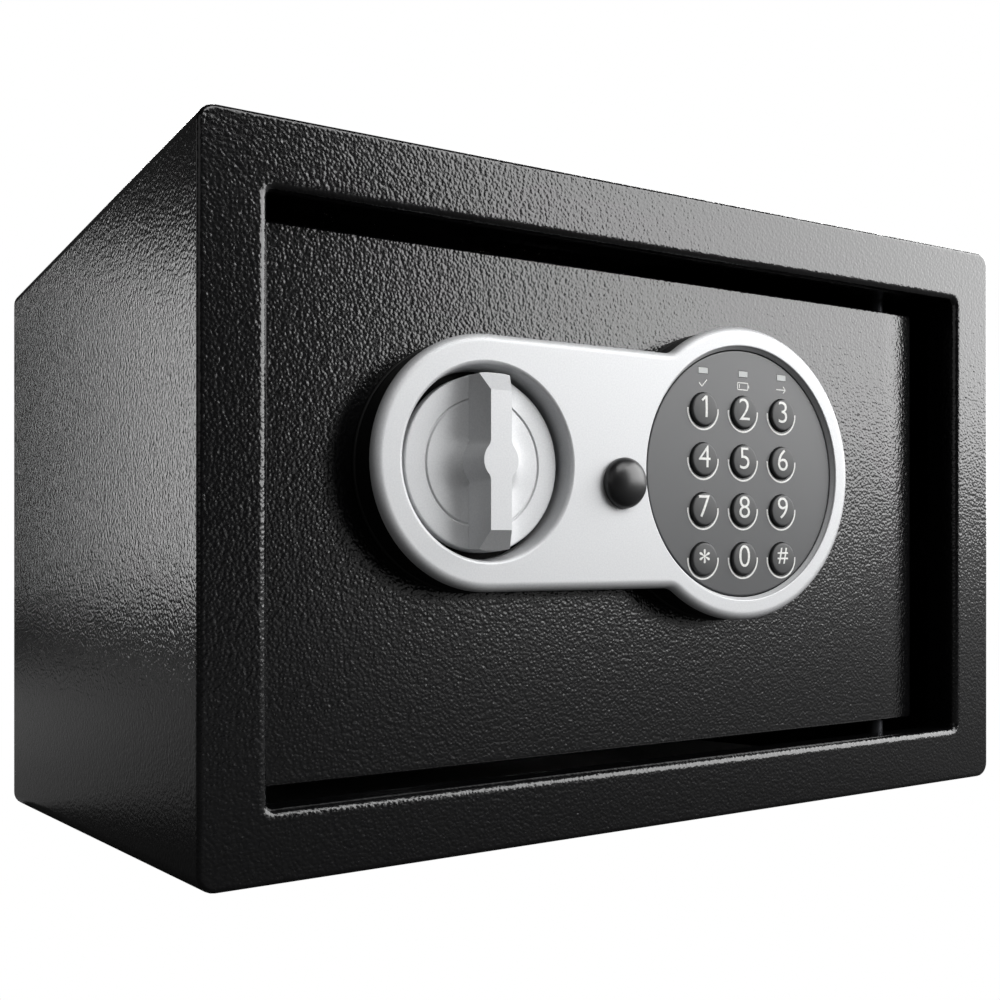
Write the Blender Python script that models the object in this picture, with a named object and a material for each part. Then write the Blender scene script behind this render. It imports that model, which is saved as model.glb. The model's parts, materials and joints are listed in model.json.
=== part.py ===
"""Small electronic in-room safe: steel cabinet, hinged door, bolt work, keypad and turning knob.

The origin is the centre of the cabinet's base, +Z is up and the door faces -Y.
Depths are measured back from the cabinet's front face, and at() turns them into +Y.
"""
import math

import bmesh
import bpy
from mathutils import Matrix, Vector

MM = 0.001

# Cabinet
WIDTH, DEPTH, HEIGHT = 310 * MM, 215 * MM, 200 * MM
SHEET = 1.5 * MM                    # steel of the wrap, the frame and the back
CORNER = 5 * MM                     # bend radius of the wrap
SEAM = 0.15 * MM                    # gap left between parts that are welded or screwed together
OPENING_W, OPENING_H = 272 * MM, 161 * MM
OPENING_CORNER = 2 * MM
LIP_BEND = 2.5 * MM                 # outside radius where the frame turns into its lip
LIP_DEPTH = 13.5 * MM
ANCHOR_HOLE = 10 * MM               # diameter of the four anchor holes
ANCHOR_X = 90 * MM

# Door
DOOR_LEFT, DOOR_RIGHT = -134.5 * MM, 125.5 * MM
DOOR_GAP = 4.5 * MM                 # door edge to opening, above and below
DOOR_FACE = 11 * MM                 # depth of the door's face behind the frame's face
DOOR_BACK = 13 * MM
HINGE_X, HINGE_DEPTH = 112 * MM, 18 * MM
PIN_RADIUS = 3 * MM

# Front trim, knob, override lock and keypad, as (x, z) centres
KNOB = (-70.5 * MM, 111.7 * MM)
KEYPAD = (27.3 * MM, 111.7 * MM)
LOCK = (-23.2 * MM, 107 * MM)
TRIM_FRONT = -3 * MM                # depth of the silver trim's face, proud of the frame
TRIM_END_RADIUS, TRIM_PAD_RADIUS = 37 * MM, 48 * MM
TRIM_FILLET = 6 * MM
TRIM_WALL = 2 * MM
TRIM_EDGE = 2.6 * MM                # radius of the trim's outer edge
BASE_FRONT = 0.2 * MM               # depth where the silver trim meets its black base
KNOB_RADIUS, KNOB_FACE = 25.5 * MM, 1.5 * MM
WELL_RADIUS, WELL_RIM = 27.4 * MM, 28.9 * MM    # knob well at its foot and in the trim's face
WELL_FOOT, WELL_BACK = 2.5 * MM, 7 * MM
GRIP_FRONT = -8.5 * MM
PAD_RADIUS, PAD_FACE = 40.2 * MM, -1.4 * MM
KEY_RADIUS = 5.3 * MM
KEY_PITCH_X, KEY_PITCH_Z = 17.2 * MM, 16 * MM
TOP_KEY_Z = KEYPAD[1] + 20 * MM
LIGHT_Z = KEYPAD[1] + 32.6 * MM
CABLE = (6 * MM, 111.7 * MM)
TRIM_HOLES = ((KNOB, 6 * MM), (LOCK, 8.6 * MM), (CABLE, 5 * MM))    # through base and door

# Bolt work
BOLT_RADIUS, BOLT_DEPTH = 8 * MM, 24 * MM
BOLT_TIP, BOLT_TAIL = -133 * MM, -92 * MM
BOLT_Z = (60 * MM, 140 * MM)
CRANK_ARM, CRANK_PIN = 8.5 * MM, 2.5 * MM
CRANK_X = CRANK_ARM * math.sin(math.radians(45))
BOLT_TRAVEL = 2 * CRANK_X
CARRIAGE = (23 * MM, 25 * MM)       # depths of the carriage's two faces
CARRIAGE_BAR = (-104 * MM, -90 * MM)
STUD_X, STUD_Z = (-95 * MM, -53 * MM), 124 * MM
PLUNGER_X, PLUNGER_TIP_Z = -69 * MM, 93.5 * MM
COVER_BACK = 42 * MM                # depth of the inner cover's outer face
COVER_WALL = 1.2 * MM
COVER_X, COVER_Z = (-121.5 * MM, 99 * MM), (31 * MM, 169 * MM)
RESET = (84 * MM, 145 * MM)
CELL_RADIUS, CELL_LENGTH = 7.1 * MM, 50.3 * MM
CELL_X, CELL_Z, CELL_DEPTH = 53 * MM, 100 * MM, 26 * MM
CELL_PITCH = 15.2 * MM

FINE = 28                           # segments of a round piece that is seen
COARSE = 16


def at(x, depth, z):
    """A point in the part's frame from a depth behind the cabinet's front face."""
    return Vector((x, depth - DEPTH / 2, z))


# ---------------------------------------------------------------- shapes and helpers

def clear_scene():
    for item in list(bpy.data.objects):
        bpy.data.objects.remove(item, do_unlink=True)


def paint(name, colour, roughness, metallic=0.0):
    """A Principled material with one colour."""
    made = bpy.data.materials.get(name)
    if made is None:
        made = bpy.data.materials.new(name)
        made.use_nodes = True
        surface = made.node_tree.nodes["Principled BSDF"]
        surface.inputs["Base Color"].default_value = (*colour, 1.0)
        surface.inputs["Roughness"].default_value = roughness
        surface.inputs["Metallic"].default_value = metallic
    return made


def empty(name, place, parent=None):
    made = bpy.data.objects.new(name, None)
    bpy.context.collection.objects.link(made)
    return attach(made, place, parent)


def attach(item, place, parent):
    """Put an object at a place in the part's frame, under a parent."""
    item["place"] = tuple(place)
    item.location = place
    if parent is not None:
        item.parent = parent
        item.location = Vector(place) - Vector(parent["place"])
    return item


def finish(bm, name, look, place=Vector(), parent=None, smooth=True):
    """Turn a bmesh drawn in the part's frame into an object with its origin at place."""
    bmesh.ops.remove_doubles(bm, verts=bm.verts, dist=1e-7)
    bmesh.ops.recalc_face_normals(bm, faces=bm.faces)
    bmesh.ops.translate(bm, verts=bm.verts, vec=-Vector(place))
    mesh = bpy.data.meshes.new(name)
    bm.to_mesh(mesh)
    bm.free()
    if smooth:
        mesh.shade_smooth()
        mesh.set_sharp_from_angle(angle=math.radians(32))
    mesh.materials.append(look)
    made = bpy.data.objects.new(name, mesh)
    bpy.context.collection.objects.link(made)
    return attach(made, place, parent)


def boolean(target, bm, operation):
    """Cut a shape out of an object, or join it on."""
    tool = finish(bm, target.name + "_tool", paint("tool", (0.5, 0.5, 0.5), 0.5), smooth=False)
    tool.hide_render = True
    tool.display_type = "WIRE"
    step = target.modifiers.new(operation.lower(), "BOOLEAN")
    step.operation = operation
    step.object = tool
    step.solver = "EXACT"
    return target


def cut(target, bm):
    return boolean(target, bm, "DIFFERENCE")


def join(target, bm):
    return boolean(target, bm, "UNION")


def soften(target, width, segments=1, angle=50):
    step = target.modifiers.new("edge", "BEVEL")
    step.width = width
    step.segments = segments
    step.limit_method = "ANGLE"
    step.angle_limit = math.radians(angle)
    return target


def arc(centre, radius, start, end, steps):
    """Points (x, z) along an arc, its angles in degrees counter-clockwise from +X."""
    turn = [math.radians(start + (end - start) * i / steps) for i in range(steps + 1)]
    return [(centre[0] + radius * math.cos(t), centre[1] + radius * math.sin(t)) for t in turn]


def circle(centre, radius, steps=FINE):
    return arc(centre, radius, 0, 360, steps)[:-1]


def rounded(centre, width, height, radius, steps=5):
    """A rectangle's outline with round corners."""
    x, z = width / 2 - radius, height / 2 - radius
    corners = ((x, z, 0), (-x, z, 90), (-x, -z, 180), (x, -z, 270))
    points = []
    for dx, dz, start in corners:
        points += arc((centre[0] + dx, centre[1] + dz), radius, start, start + 90, steps)
    return points


def between(left, right, low, high):
    """Centre, width and height of the rectangle between two pairs of edges."""
    return ((left + right) / 2, (low + high) / 2), right - left, high - low


def prism(outline, front, back, bm=None):
    """An outline of (x, z) points made solid between two depths."""
    bm = bm or bmesh.new()
    face = bm.faces.new([bm.verts.new(at(x, front, z)) for x, z in outline])
    pushed = bmesh.ops.extrude_face_region(bm, geom=[face])["geom"]
    moved = [item for item in pushed if isinstance(item, bmesh.types.BMVert)]
    bmesh.ops.translate(bm, verts=moved, vec=(0, back - front, 0))
    return bm


def block(x, depth, z, bm=None):
    """A box between pairs of x, depth and z."""
    centre, width, height = between(*x, *z)
    corners = [(-1, -1), (1, -1), (1, 1), (-1, 1)]
    outline = [(centre[0] + width / 2 * i, centre[1] + height / 2 * j) for i, j in corners]
    return prism(outline, *depth, bm)


def loft(sections, closed=False):
    """A skin through sections of (outline, depth), capped, or closed on itself like a tyre."""
    bm = bmesh.new()
    outline, depth = sections[0]
    ring = [bm.verts.new(at(x, depth, z)) for x, z in outline]
    edges = [bm.edges.new(pair) for pair in zip(ring, ring[1:] + ring[:1])]
    if not closed:
        bmesh.ops.contextual_create(bm, geom=edges)
    for outline, depth in sections[1:] + sections[:1] if closed else sections[1:]:
        pushed = set(bmesh.ops.extrude_edge_only(bm, edges=edges)["geom"])
        ring = [next(edge.other_vert(old) for edge in old.link_edges if edge.other_vert(old) in pushed)
                for old in ring]
        edges = [bm.edges.get(pair) for pair in zip(ring, ring[1:] + ring[:1])]
        for vert, (x, z) in zip(ring, outline):
            vert.co = at(x, depth, z)
    if not closed:
        bmesh.ops.contextual_create(bm, geom=edges)
    return bm


DIRECTIONS = {
    "back": Matrix.Rotation(math.radians(-90), 4, "X"),
    "up": Matrix.Identity(4),
    "right": Matrix.Rotation(math.radians(90), 4, "Y"),
}


def turned(profile, place, way="back", segments=COARSE, bm=None):
    """A profile of (radius, distance) points turned about an axis through place."""
    made = bmesh.new()
    verts = [made.verts.new((radius, 0, along)) for radius, along in profile]
    edges = [made.edges.new(pair) for pair in zip(verts, verts[1:])]
    if profile[0][0] > 0 and profile[-1][0] > 0:
        edges.append(made.edges.new((verts[-1], verts[0])))
    bmesh.ops.spin(made, geom=verts + edges, cent=(0, 0, 0), axis=(0, 0, 1),
                   angle=math.tau, steps=segments, use_merge=True)
    bmesh.ops.remove_doubles(made, verts=made.verts, dist=1e-7)
    bmesh.ops.transform(made, verts=made.verts, matrix=Matrix.Translation(place) @ DIRECTIONS[way])
    bmesh.ops.recalc_face_normals(made, faces=made.faces)
    if bm is None:
        return made
    mesh = bpy.data.meshes.new("joined")
    made.to_mesh(mesh)
    made.free()
    bm.from_mesh(mesh)
    return bm


def rod(radius, start, end, place, way="back", segments=COARSE, bm=None):
    """A plain cylinder along an axis through place."""
    return turned([(0, start), (radius, start), (radius, end), (0, end)], place, way, segments, bm)


# ---------------------------------------------------------------- cabinet

def frame_outline(inset=0.0):
    centre = (0, HEIGHT / 2)
    return rounded(centre, WIDTH - 2 * inset, HEIGHT - 2 * inset, CORNER - inset)


def opening_outline(outset=0.0):
    centre = (0, HEIGHT / 2)
    return rounded(centre, OPENING_W + 2 * outset, OPENING_H + 2 * outset, OPENING_CORNER + outset)


def make_cabinet_wrap(look, parent):
    front, back = SHEET + SEAM, DEPTH
    outer, inner = frame_outline(), frame_outline(SHEET)
    bm = loft([(outer, front), (outer, back), (inner, back), (inner, front)], closed=True)
    wrap = finish(bm, "cabinet_wrap", look, parent=parent)
    for side in (-1, 1):
        hole = Vector((side * ANCHOR_X, 20 * MM, 0))
        cut(wrap, rod(ANCHOR_HOLE / 2, -5 * MM, 5 * MM, hole, "up"))


def make_front_frame(look, parent):
    """Flat face with a softened outer edge, turned inwards around the opening into a deep lip."""
    edge = 1.0 * MM
    sections = [(frame_outline(), SHEET), (frame_outline(), edge)]
    sections += [(frame_outline(0.3 * edge), 0.3 * edge), (frame_outline(edge), 0)]
    for degrees in (90, 60, 30, 0):
        out = LIP_BEND * (1 - math.cos(math.radians(degrees)))
        deep = LIP_BEND * (1 - math.sin(math.radians(degrees)))
        sections.append((opening_outline(out), deep))
    sections += [(opening_outline(), LIP_DEPTH), (opening_outline(SHEET), LIP_DEPTH)]
    sections += [(opening_outline(SHEET), LIP_BEND), (opening_outline(LIP_BEND), SHEET)]
    finish(loft(sections, closed=True), "front_frame", look, parent=parent)


def make_back_panel(look, parent):
    gap = SHEET + SEAM
    outline = frame_outline(gap)
    panel = finish(prism(outline, DEPTH - 2 * MM, DEPTH), "back_panel", look, parent=parent)
    for side in (-1, 1):
        hole = at(side * ANCHOR_X, DEPTH, HEIGHT / 2)
        cut(panel, rod(ANCHOR_HOLE / 2, -8 * MM, 5 * MM, hole))


def make_floor_mat(look, parent):
    low = SHEET + SEAM
    x = WIDTH / 2 - 6 * MM
    bm = block((-x, x), (17 * MM, DEPTH - 5 * MM), (low, low + 2.2 * MM))
    finish(bm, "floor_mat", look, parent=parent)


def make_hinge_bracket(name, side, look, parent):
    """A flat plate behind the lip, with the pin's hole; side is -1 below and 1 above."""
    lip = HEIGHT / 2 + side * (OPENING_H / 2 + SHEET + SEAM)
    z = sorted((lip, lip + side * 3 * MM))
    x = (HINGE_X - 13 * MM, HINGE_X + 13 * MM)
    plate = finish(block(x, (4 * MM, 27 * MM), z), name, look, parent=parent)
    hole = rod(PIN_RADIUS + 0.3 * MM, z[0] - MM, z[1] + MM, at(HINGE_X, HINGE_DEPTH, 0), "up")
    cut(plate, hole)


# ---------------------------------------------------------------- door

def door_z():
    low = (HEIGHT - OPENING_H) / 2 + DOOR_GAP
    return low, HEIGHT - low


def screw_places():
    inset = 9 * MM
    xs = (COVER_X[0] + inset + 6 * MM, COVER_X[1] - inset)
    zs = (COVER_Z[0] + inset, COVER_Z[1] - inset)
    return [(x, z) for z in zs for x in xs]


def make_door_plate(look, parent, origin):
    outline = rounded(*between(DOOR_LEFT, DOOR_RIGHT, *door_z()), 1.5 * MM, 3)
    plate = finish(prism(outline, DOOR_FACE, DOOR_BACK), "door_plate", look, origin, parent)
    soften(plate, 0.6 * MM, 2, 80)
    for x, z in screw_places():
        post = at(x, 0, z)
        sleeve = [(3.5 * MM, DOOR_BACK - MM), (3.5 * MM, COVER_BACK - COVER_WALL - SEAM)]
        bore = [(1.8 * MM, COVER_BACK - COVER_WALL - SEAM), (1.8 * MM, DOOR_BACK + 6 * MM)]
        stub = [(0, DOOR_BACK - MM)] + sleeve + bore + [(0, DOOR_BACK + 6 * MM)]
        join(plate, turned(stub, post, segments=12))
    for centre, radius in TRIM_HOLES:
        place = at(centre[0], 0, centre[1])
        cut(plate, rod(radius, DOOR_FACE - MM, DOOR_BACK + MM, place))


def make_hinge_pin(name, side, look, parent, origin):
    """A block welded behind the door with its turned pin; side is -1 below and 1 above."""
    edge = door_z()[0] if side < 0 else door_z()[1]
    z = sorted((edge - side * 1.5 * MM, edge - side * 15 * MM))
    x = (HINGE_X - 6 * MM, HINGE_X + 6 * MM)
    pin = finish(block(x, (DOOR_BACK + SEAM, 23.5 * MM), z), name, look, origin, parent)
    centre = at(HINGE_X, HINGE_DEPTH, edge)
    reach = sorted((-side * 6 * MM, side * 10.5 * MM))
    tip = 0.8 * MM
    if side > 0:
        profile = [(0, reach[0]), (PIN_RADIUS, reach[0]), (PIN_RADIUS, reach[1] - tip)]
        profile += [(PIN_RADIUS - tip, reach[1]), (0, reach[1])]
    else:
        profile = [(0, reach[0]), (PIN_RADIUS - tip, reach[0]), (PIN_RADIUS, reach[0] + tip)]
        profile += [(PIN_RADIUS, reach[1]), (0, reach[1])]
    join(pin, turned(profile, centre, "up"))


def make_inner_cover(look, parent, origin):
    """A pan over the bolt work, open towards the door."""
    x, z = COVER_X, COVER_Z
    outer = rounded(*between(*x, *z), 4 * MM, 4)
    inner = rounded(*between(x[0] + COVER_WALL, x[1] - COVER_WALL, z[0] + COVER_WALL,
                             z[1] - COVER_WALL), 3 * MM, 4)
    front = DOOR_BACK + SEAM
    edge = 1.5 * MM
    inset = rounded(*between(x[0] + edge, x[1] - edge, z[0] + edge, z[1] - edge), 3 * MM, 4)
    bm = loft([(inner, COVER_BACK - COVER_WALL), (inner, front), (outer, front),
               (outer, COVER_BACK - edge), (inset, COVER_BACK)])
    cover = finish(bm, "inner_cover", look, origin, parent)
    for height in BOLT_Z:
        cut(cover, rod(BOLT_RADIUS + 0.6 * MM, -6 * MM, 6 * MM, at(x[0], BOLT_DEPTH, height), "right"))
    for hole_x, hole_z in screw_places():
        cut(cover, rod(2.1 * MM, COVER_BACK - 3 * MM, COVER_BACK + MM, at(hole_x, 0, hole_z), segments=12))
    hatch = battery_hatch(0.4 * MM)
    cut(cover, prism(hatch, COVER_BACK - 3 * MM, COVER_BACK + MM))
    reset = at(RESET[0], 0, RESET[1])
    cut(cover, rod(3.3 * MM, COVER_BACK - 3 * MM, COVER_BACK + MM, reset, segments=16))
    return cover


def battery_hatch(grow=0.0):
    return rounded((CELL_X, CELL_Z), 62 * MM + 2 * grow, 66 * MM + 2 * grow, 3 * MM, 4)


def make_cover_screws(look, parent, origin):
    for index, (x, z) in enumerate(screw_places(), 1):
        face = COVER_BACK + SEAM
        profile = [(0, face - 8 * MM), (1.5 * MM, face - 8 * MM), (1.5 * MM, face), (3.4 * MM, face)]
        profile += [(3.4 * MM, face + 0.9 * MM), (2.4 * MM, face + 1.9 * MM), (0, face + 2.2 * MM)]
        bm = turned(profile, at(x, 0, z), segments=12)
        screw = finish(bm, f"cover_screw_{index}", look, at(x, COVER_BACK, z), parent)
        for half_x, half_z in ((0.4 * MM, 2 * MM), (2 * MM, 0.4 * MM)):
            slot = block((x - half_x, x + half_x), (face + 1.0 * MM, face + 3 * MM), (z - half_z, z + half_z))
            cut(screw, slot)


# ---------------------------------------------------------------- front trim

def trim_outline(inset=0.0):
    """A round end for the knob, a straight waist and a larger round end for the keypad."""
    small, large = TRIM_END_RADIUS - inset, TRIM_PAD_RADIUS - inset
    fillet = TRIM_FILLET + inset
    rise = small + fillet
    reach = math.sqrt((large + fillet) ** 2 - rise ** 2)
    angle = math.degrees(math.asin(rise / (large + fillet)))
    left, right = (KEYPAD[0] - reach, KEYPAD[1] + rise), (KEYPAD[0] - reach, KEYPAD[1] - rise)
    points = arc(KNOB, small, 90, 270, 18)
    points += arc(right, fillet, 90, angle, 4)
    points += arc(KEYPAD, large, 180 + angle, 540 - angle, 28)
    points += arc(left, fillet, -angle, -90, 4)
    return points


def make_trim_base(look, parent, origin):
    """The black tray behind the silver trim."""
    outer, inner = trim_outline(0.6 * MM), trim_outline(0.6 * MM + TRIM_WALL)
    back = DOOR_FACE - SEAM
    sections = [(inner, back - 1.6 * MM), (inner, BASE_FRONT), (outer, BASE_FRONT), (outer, back)]
    base = finish(loft(sections), "trim_base", look, origin, parent)
    for centre, radius in TRIM_HOLES:
        cut(base, rod(radius, 5 * MM, DOOR_FACE + MM, at(centre[0], 0, centre[1])))


def make_trim(look, parent, origin):
    """The silver trim: a hollow cap with a deep well for the knob and a rim around the keypad."""
    edge = TRIM_EDGE
    back = BASE_FRONT - SEAM
    sections = [(trim_outline(TRIM_WALL), TRIM_FRONT + TRIM_WALL), (trim_outline(TRIM_WALL), back)]
    sections += [(trim_outline(), back)]
    for degrees in (0, 30, 60, 90):
        inset = edge * (1 - math.cos(math.radians(degrees)))
        rise = edge * (1 - math.sin(math.radians(degrees)))
        sections.append((trim_outline(inset), TRIM_FRONT + rise))
    trim = finish(loft(sections), "trim", look, origin, parent)
    outside = WELL_RIM + 1.5 * MM
    collar = [(WELL_RADIUS, TRIM_FRONT + MM), (outside, TRIM_FRONT + MM)]
    collar += [(outside, WELL_BACK), (WELL_RADIUS, WELL_BACK)]
    place = at(KNOB[0], 0, KNOB[1])
    join(trim, turned(collar, place, segments=36))
    lead, over = 0.6 * MM, 0.4 * MM
    well = [(0, WELL_BACK + MM), (WELL_RADIUS, WELL_BACK + MM), (WELL_RADIUS, WELL_FOOT)]
    well += [(WELL_RIM, TRIM_FRONT + lead), (WELL_RIM + lead + over, TRIM_FRONT - over)]
    well += [(0, TRIM_FRONT - over)]
    cut(trim, turned(well, place, segments=36))
    rim = [(0, 0), (PAD_RADIUS + 0.4 * MM, 0), (PAD_RADIUS + 0.4 * MM, PAD_FACE)]
    rim += [(PAD_RADIUS + 1.7 * MM, TRIM_FRONT - 0.2 * MM), (0, TRIM_FRONT - 0.2 * MM)]
    cut(trim, turned(rim, at(KEYPAD[0], 0, KEYPAD[1]), segments=40))
    cut(trim, rod(5.4 * MM, TRIM_FRONT - MM, 0, at(LOCK[0], 0, LOCK[1]), segments=24))


# ---------------------------------------------------------------- keypad

def key_places():
    """Names and centres of the twelve keys, row by row from the top left."""
    names = ["1", "2", "3", "4", "5", "6", "7", "8", "9", "star", "0", "hash"]
    places = []
    for index, name in enumerate(names):
        row, column = divmod(index, 3)
        x = KEYPAD[0] + (column - 1) * KEY_PITCH_X
        places.append((name, x, TOP_KEY_Z - row * KEY_PITCH_Z))
    return places


def make_keypad_panel(look, parent, origin):
    place = at(KEYPAD[0], 0, KEYPAD[1])
    panel = finish(rod(PAD_RADIUS, PAD_FACE, PAD_FACE + 1.8 * MM, place, segments=40),
                   "keypad_panel", look, origin, parent)
    for _, x, z in key_places():
        cut(panel, rod(KEY_RADIUS + 0.3 * MM, PAD_FACE - MM, PAD_FACE + 3 * MM, at(x, 0, z)))
    for column in (-1, 0, 1):
        x = KEYPAD[0] + column * KEY_PITCH_X
        window = ((x - 2.1 * MM, x + 2.1 * MM), (PAD_FACE - MM, PAD_FACE + 3 * MM),
                  (LIGHT_Z - 1.1 * MM, LIGHT_Z + 1.1 * MM))
        cut(panel, block(*window))


def make_light_guide(look, parent, origin):
    """One clear bar behind the panel with three small windows."""
    back = PAD_FACE + 1.8 * MM + SEAM
    half = KEY_PITCH_X + 3.5 * MM
    bar = block((KEYPAD[0] - half, KEYPAD[0] + half), (back, back + 1.2 * MM),
                (LIGHT_Z - 2.5 * MM, LIGHT_Z + 2.5 * MM))
    guide = finish(bar, "light_guide", look, origin, parent, smooth=False)
    for column in (-1, 0, 1):
        x = KEYPAD[0] + column * KEY_PITCH_X
        join(guide, block((x - 1.95 * MM, x + 1.95 * MM), (PAD_FACE - 0.1 * MM, back + 0.5 * MM),
                          (LIGHT_Z - 0.95 * MM, LIGHT_Z + 0.95 * MM)))


def make_keys(look, parent):
    """Twelve rubber caps, each with a flange behind the panel."""
    top, flange = PAD_FACE - 1.3 * MM, PAD_FACE + 2.1 * MM
    profile = [(0, top), (KEY_RADIUS * 0.62, top + 0.15 * MM), (KEY_RADIUS * 0.9, top + 0.6 * MM)]
    profile += [(KEY_RADIUS, top + 1.1 * MM), (KEY_RADIUS, flange), (KEY_RADIUS + 0.9 * MM, flange)]
    profile += [(KEY_RADIUS + 0.9 * MM, flange + 0.8 * MM), (0, flange + 0.8 * MM)]
    for name, x, z in key_places():
        bm = turned(profile, at(x, 0, z))
        finish(bm, "key_" + name, look, at(x, 0, z), parent)


def make_keypad_board(look, parent, origin):
    """The round circuit board behind the keys."""
    front = PAD_FACE + 3.95 * MM
    bm = rod(PAD_RADIUS - 3 * MM, front, front + 1.2 * MM, at(KEYPAD[0], 0, KEYPAD[1]))
    finish(bm, "keypad_board", look, origin, parent)


# ---------------------------------------------------------------- knob and bolt work

def grip_outline(half_width, half_length, bulge):
    """A bar with a round swelling in the middle, centred on the knob."""
    lean = math.degrees(math.asin(half_width / bulge))
    right = arc(KNOB, bulge, -90 + lean, 90 - lean, 8)
    left = arc(KNOB, bulge, 90 + lean, 270 - lean, 8)
    x, z = KNOB
    top = [(x + half_width, z + half_length), (x - half_width, z + half_length)]
    foot = [(x - half_width, z - half_length), (x + half_width, z - half_length)]
    return right + top + left + foot


def make_knob(look, parent, origin):
    back = KNOB_FACE + 2.9 * MM
    groove, width, deep = 18.4 * MM, 0.5 * MM, 0.4 * MM
    profile = [(0, KNOB_FACE), (groove - width, KNOB_FACE), (groove, KNOB_FACE + deep)]
    profile += [(groove + width, KNOB_FACE), (KNOB_RADIUS - 0.6 * MM, KNOB_FACE)]
    profile += [(KNOB_RADIUS, KNOB_FACE + 0.6 * MM), (KNOB_RADIUS, back), (0, back)]
    knob = finish(turned(profile, at(KNOB[0], 0, KNOB[1]), segments=40), "knob", look, origin, parent)
    sections = [(grip_outline(8.0 * MM, 23.2 * MM, 10.1 * MM), KNOB_FACE + MM)]
    sections += [(grip_outline(6.7 * MM, 23.4 * MM, 8.6 * MM), -1.5 * MM)]
    sections += [(grip_outline(5.1 * MM, 23.6 * MM, 7.3 * MM), -4.8 * MM)]
    sections += [(grip_outline(3.6 * MM, 19.6 * MM, 5.9 * MM), GRIP_FRONT)]
    join(knob, loft(sections))
    cut(knob, rod(4.2 * MM, -1.5 * MM, back + MM, at(KNOB[0], 0, KNOB[1])))


def make_knob_shaft(look, parent, origin):
    profile = [(0, -1 * MM), (4 * MM, -1 * MM), (4 * MM, 16.6 * MM), (3 * MM, 16.6 * MM)]
    profile += [(3 * MM, 20.6 * MM), (2.4 * MM, 20.6 * MM), (2.4 * MM, 21.4 * MM)]
    profile += [(3 * MM, 21.4 * MM), (3 * MM, 22.3 * MM), (0, 22.3 * MM)]
    bm = turned(profile, at(KNOB[0], 0, KNOB[1]))
    finish(bm, "knob_shaft", look, origin, parent)


def crank_pin_place(depth=0.0):
    return at(KNOB[0] + CRANK_X, depth, KNOB[1] + CRANK_X)


def make_knob_crank(look, parent, origin):
    """A round disc on the shaft that carries the pin of the yoke."""
    disc = rod(13 * MM, 17 * MM, 20.2 * MM, at(KNOB[0], 0, KNOB[1]), segments=FINE)
    crank = finish(disc, "knob_crank", look, origin, parent)
    join(crank, rod(CRANK_PIN, 18 * MM, 26.5 * MM, crank_pin_place(), segments=16))
    cut(crank, rod(3.2 * MM, 16 * MM, 21 * MM, at(KNOB[0], 0, KNOB[1])))


def make_shaft_clip(look, parent, origin):
    """A spring clip in the shaft's groove."""
    place = at(KNOB[0], 0, KNOB[1])
    profile = [(2.7 * MM, 20.7 * MM), (5 * MM, 20.7 * MM), (5 * MM, 21.3 * MM), (2.7 * MM, 21.3 * MM)]
    clip = finish(turned(profile, place, segments=24), "shaft_clip", look, origin, parent)
    x, z = KNOB
    cut(clip, block((x - 1.8 * MM, x + 1.8 * MM), (20 * MM, 22 * MM), (z - 6 * MM, z)))


def make_bolt_carriage(look, parent, origin):
    """A flat steel tee: its bar holds the bolts and its arm has the crank's upright slot."""
    front, back = CARRIAGE
    bar_left, bar_right = CARRIAGE_BAR
    low, high = BOLT_Z[0] - 10 * MM, BOLT_Z[1] + 10 * MM
    arm_low, arm_high, arm_right = 100 * MM, 130 * MM, -34.5 * MM
    outline = [(bar_left, low), (bar_right, low), (bar_right, arm_low), (arm_right, arm_low)]
    outline += [(arm_right, arm_high), (bar_right, arm_high), (bar_right, high), (bar_left, high)]
    carriage = finish(prism(outline, front, back), "bolt_carriage", look, origin, parent, smooth=False)
    lug_left = PLUNGER_X + 3.5 * MM
    lug = ((lug_left, lug_left + 5 * MM), CARRIAGE, (PLUNGER_TIP_Z + MM, arm_low + 2 * MM))
    join(carriage, block(*lug))
    centre = (KNOB[0] + CRANK_X, KNOB[1] + (CRANK_X + CRANK_ARM) / 2)
    slot = rounded(centre, 2 * CRANK_PIN + 1.2 * MM, 10 * MM, 3 * MM, 4)
    cut(carriage, prism(slot, front - MM, back + MM))
    for x in STUD_X:
        centre = (x + BOLT_TRAVEL / 2, STUD_Z)
        slot = rounded(centre, BOLT_TRAVEL + 5.6 * MM, 5.4 * MM, 2.6 * MM, 4)
        cut(carriage, prism(slot, front - MM, back + MM))


def make_guide_studs(look, parent, origin):
    """Two shoulder rivets that hold the carriage flat and let it slide."""
    for name, x in zip(("left", "right"), STUD_X):
        profile = [(0, 15.1 * MM), (3.6 * MM, 15.1 * MM), (3.6 * MM, 22.6 * MM), (2.4 * MM, 22.6 * MM)]
        profile += [(2.4 * MM, 25.4 * MM), (4.2 * MM, 25.4 * MM), (3.4 * MM, 27 * MM), (0, 27 * MM)]
        bm = turned(profile, at(x, 0, STUD_Z), segments=16)
        finish(bm, "guide_stud_" + name, look, origin, parent)


def make_bolts(look, parent):
    """Two round bolts, each slotted at its tail for the carriage."""
    for name, height in zip(("lower", "upper"), BOLT_Z):
        tip = 1.2 * MM
        profile = [(0, BOLT_TIP), (BOLT_RADIUS - tip, BOLT_TIP), (BOLT_RADIUS, BOLT_TIP + tip)]
        profile += [(BOLT_RADIUS, BOLT_TAIL), (0, BOLT_TAIL)]
        place = at(0, BOLT_DEPTH, height)
        bolt = finish(turned(profile, place, "right", 28), "bolt_" + name, look, place, parent)
        depths = (CARRIAGE[0] - 0.2 * MM, CARRIAGE[1] + 0.2 * MM)
        z = (height - 12 * MM, height + 12 * MM)
        cut(bolt, block((CARRIAGE_BAR[0] - 0.3 * MM, BOLT_TAIL + MM), depths, z))


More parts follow.
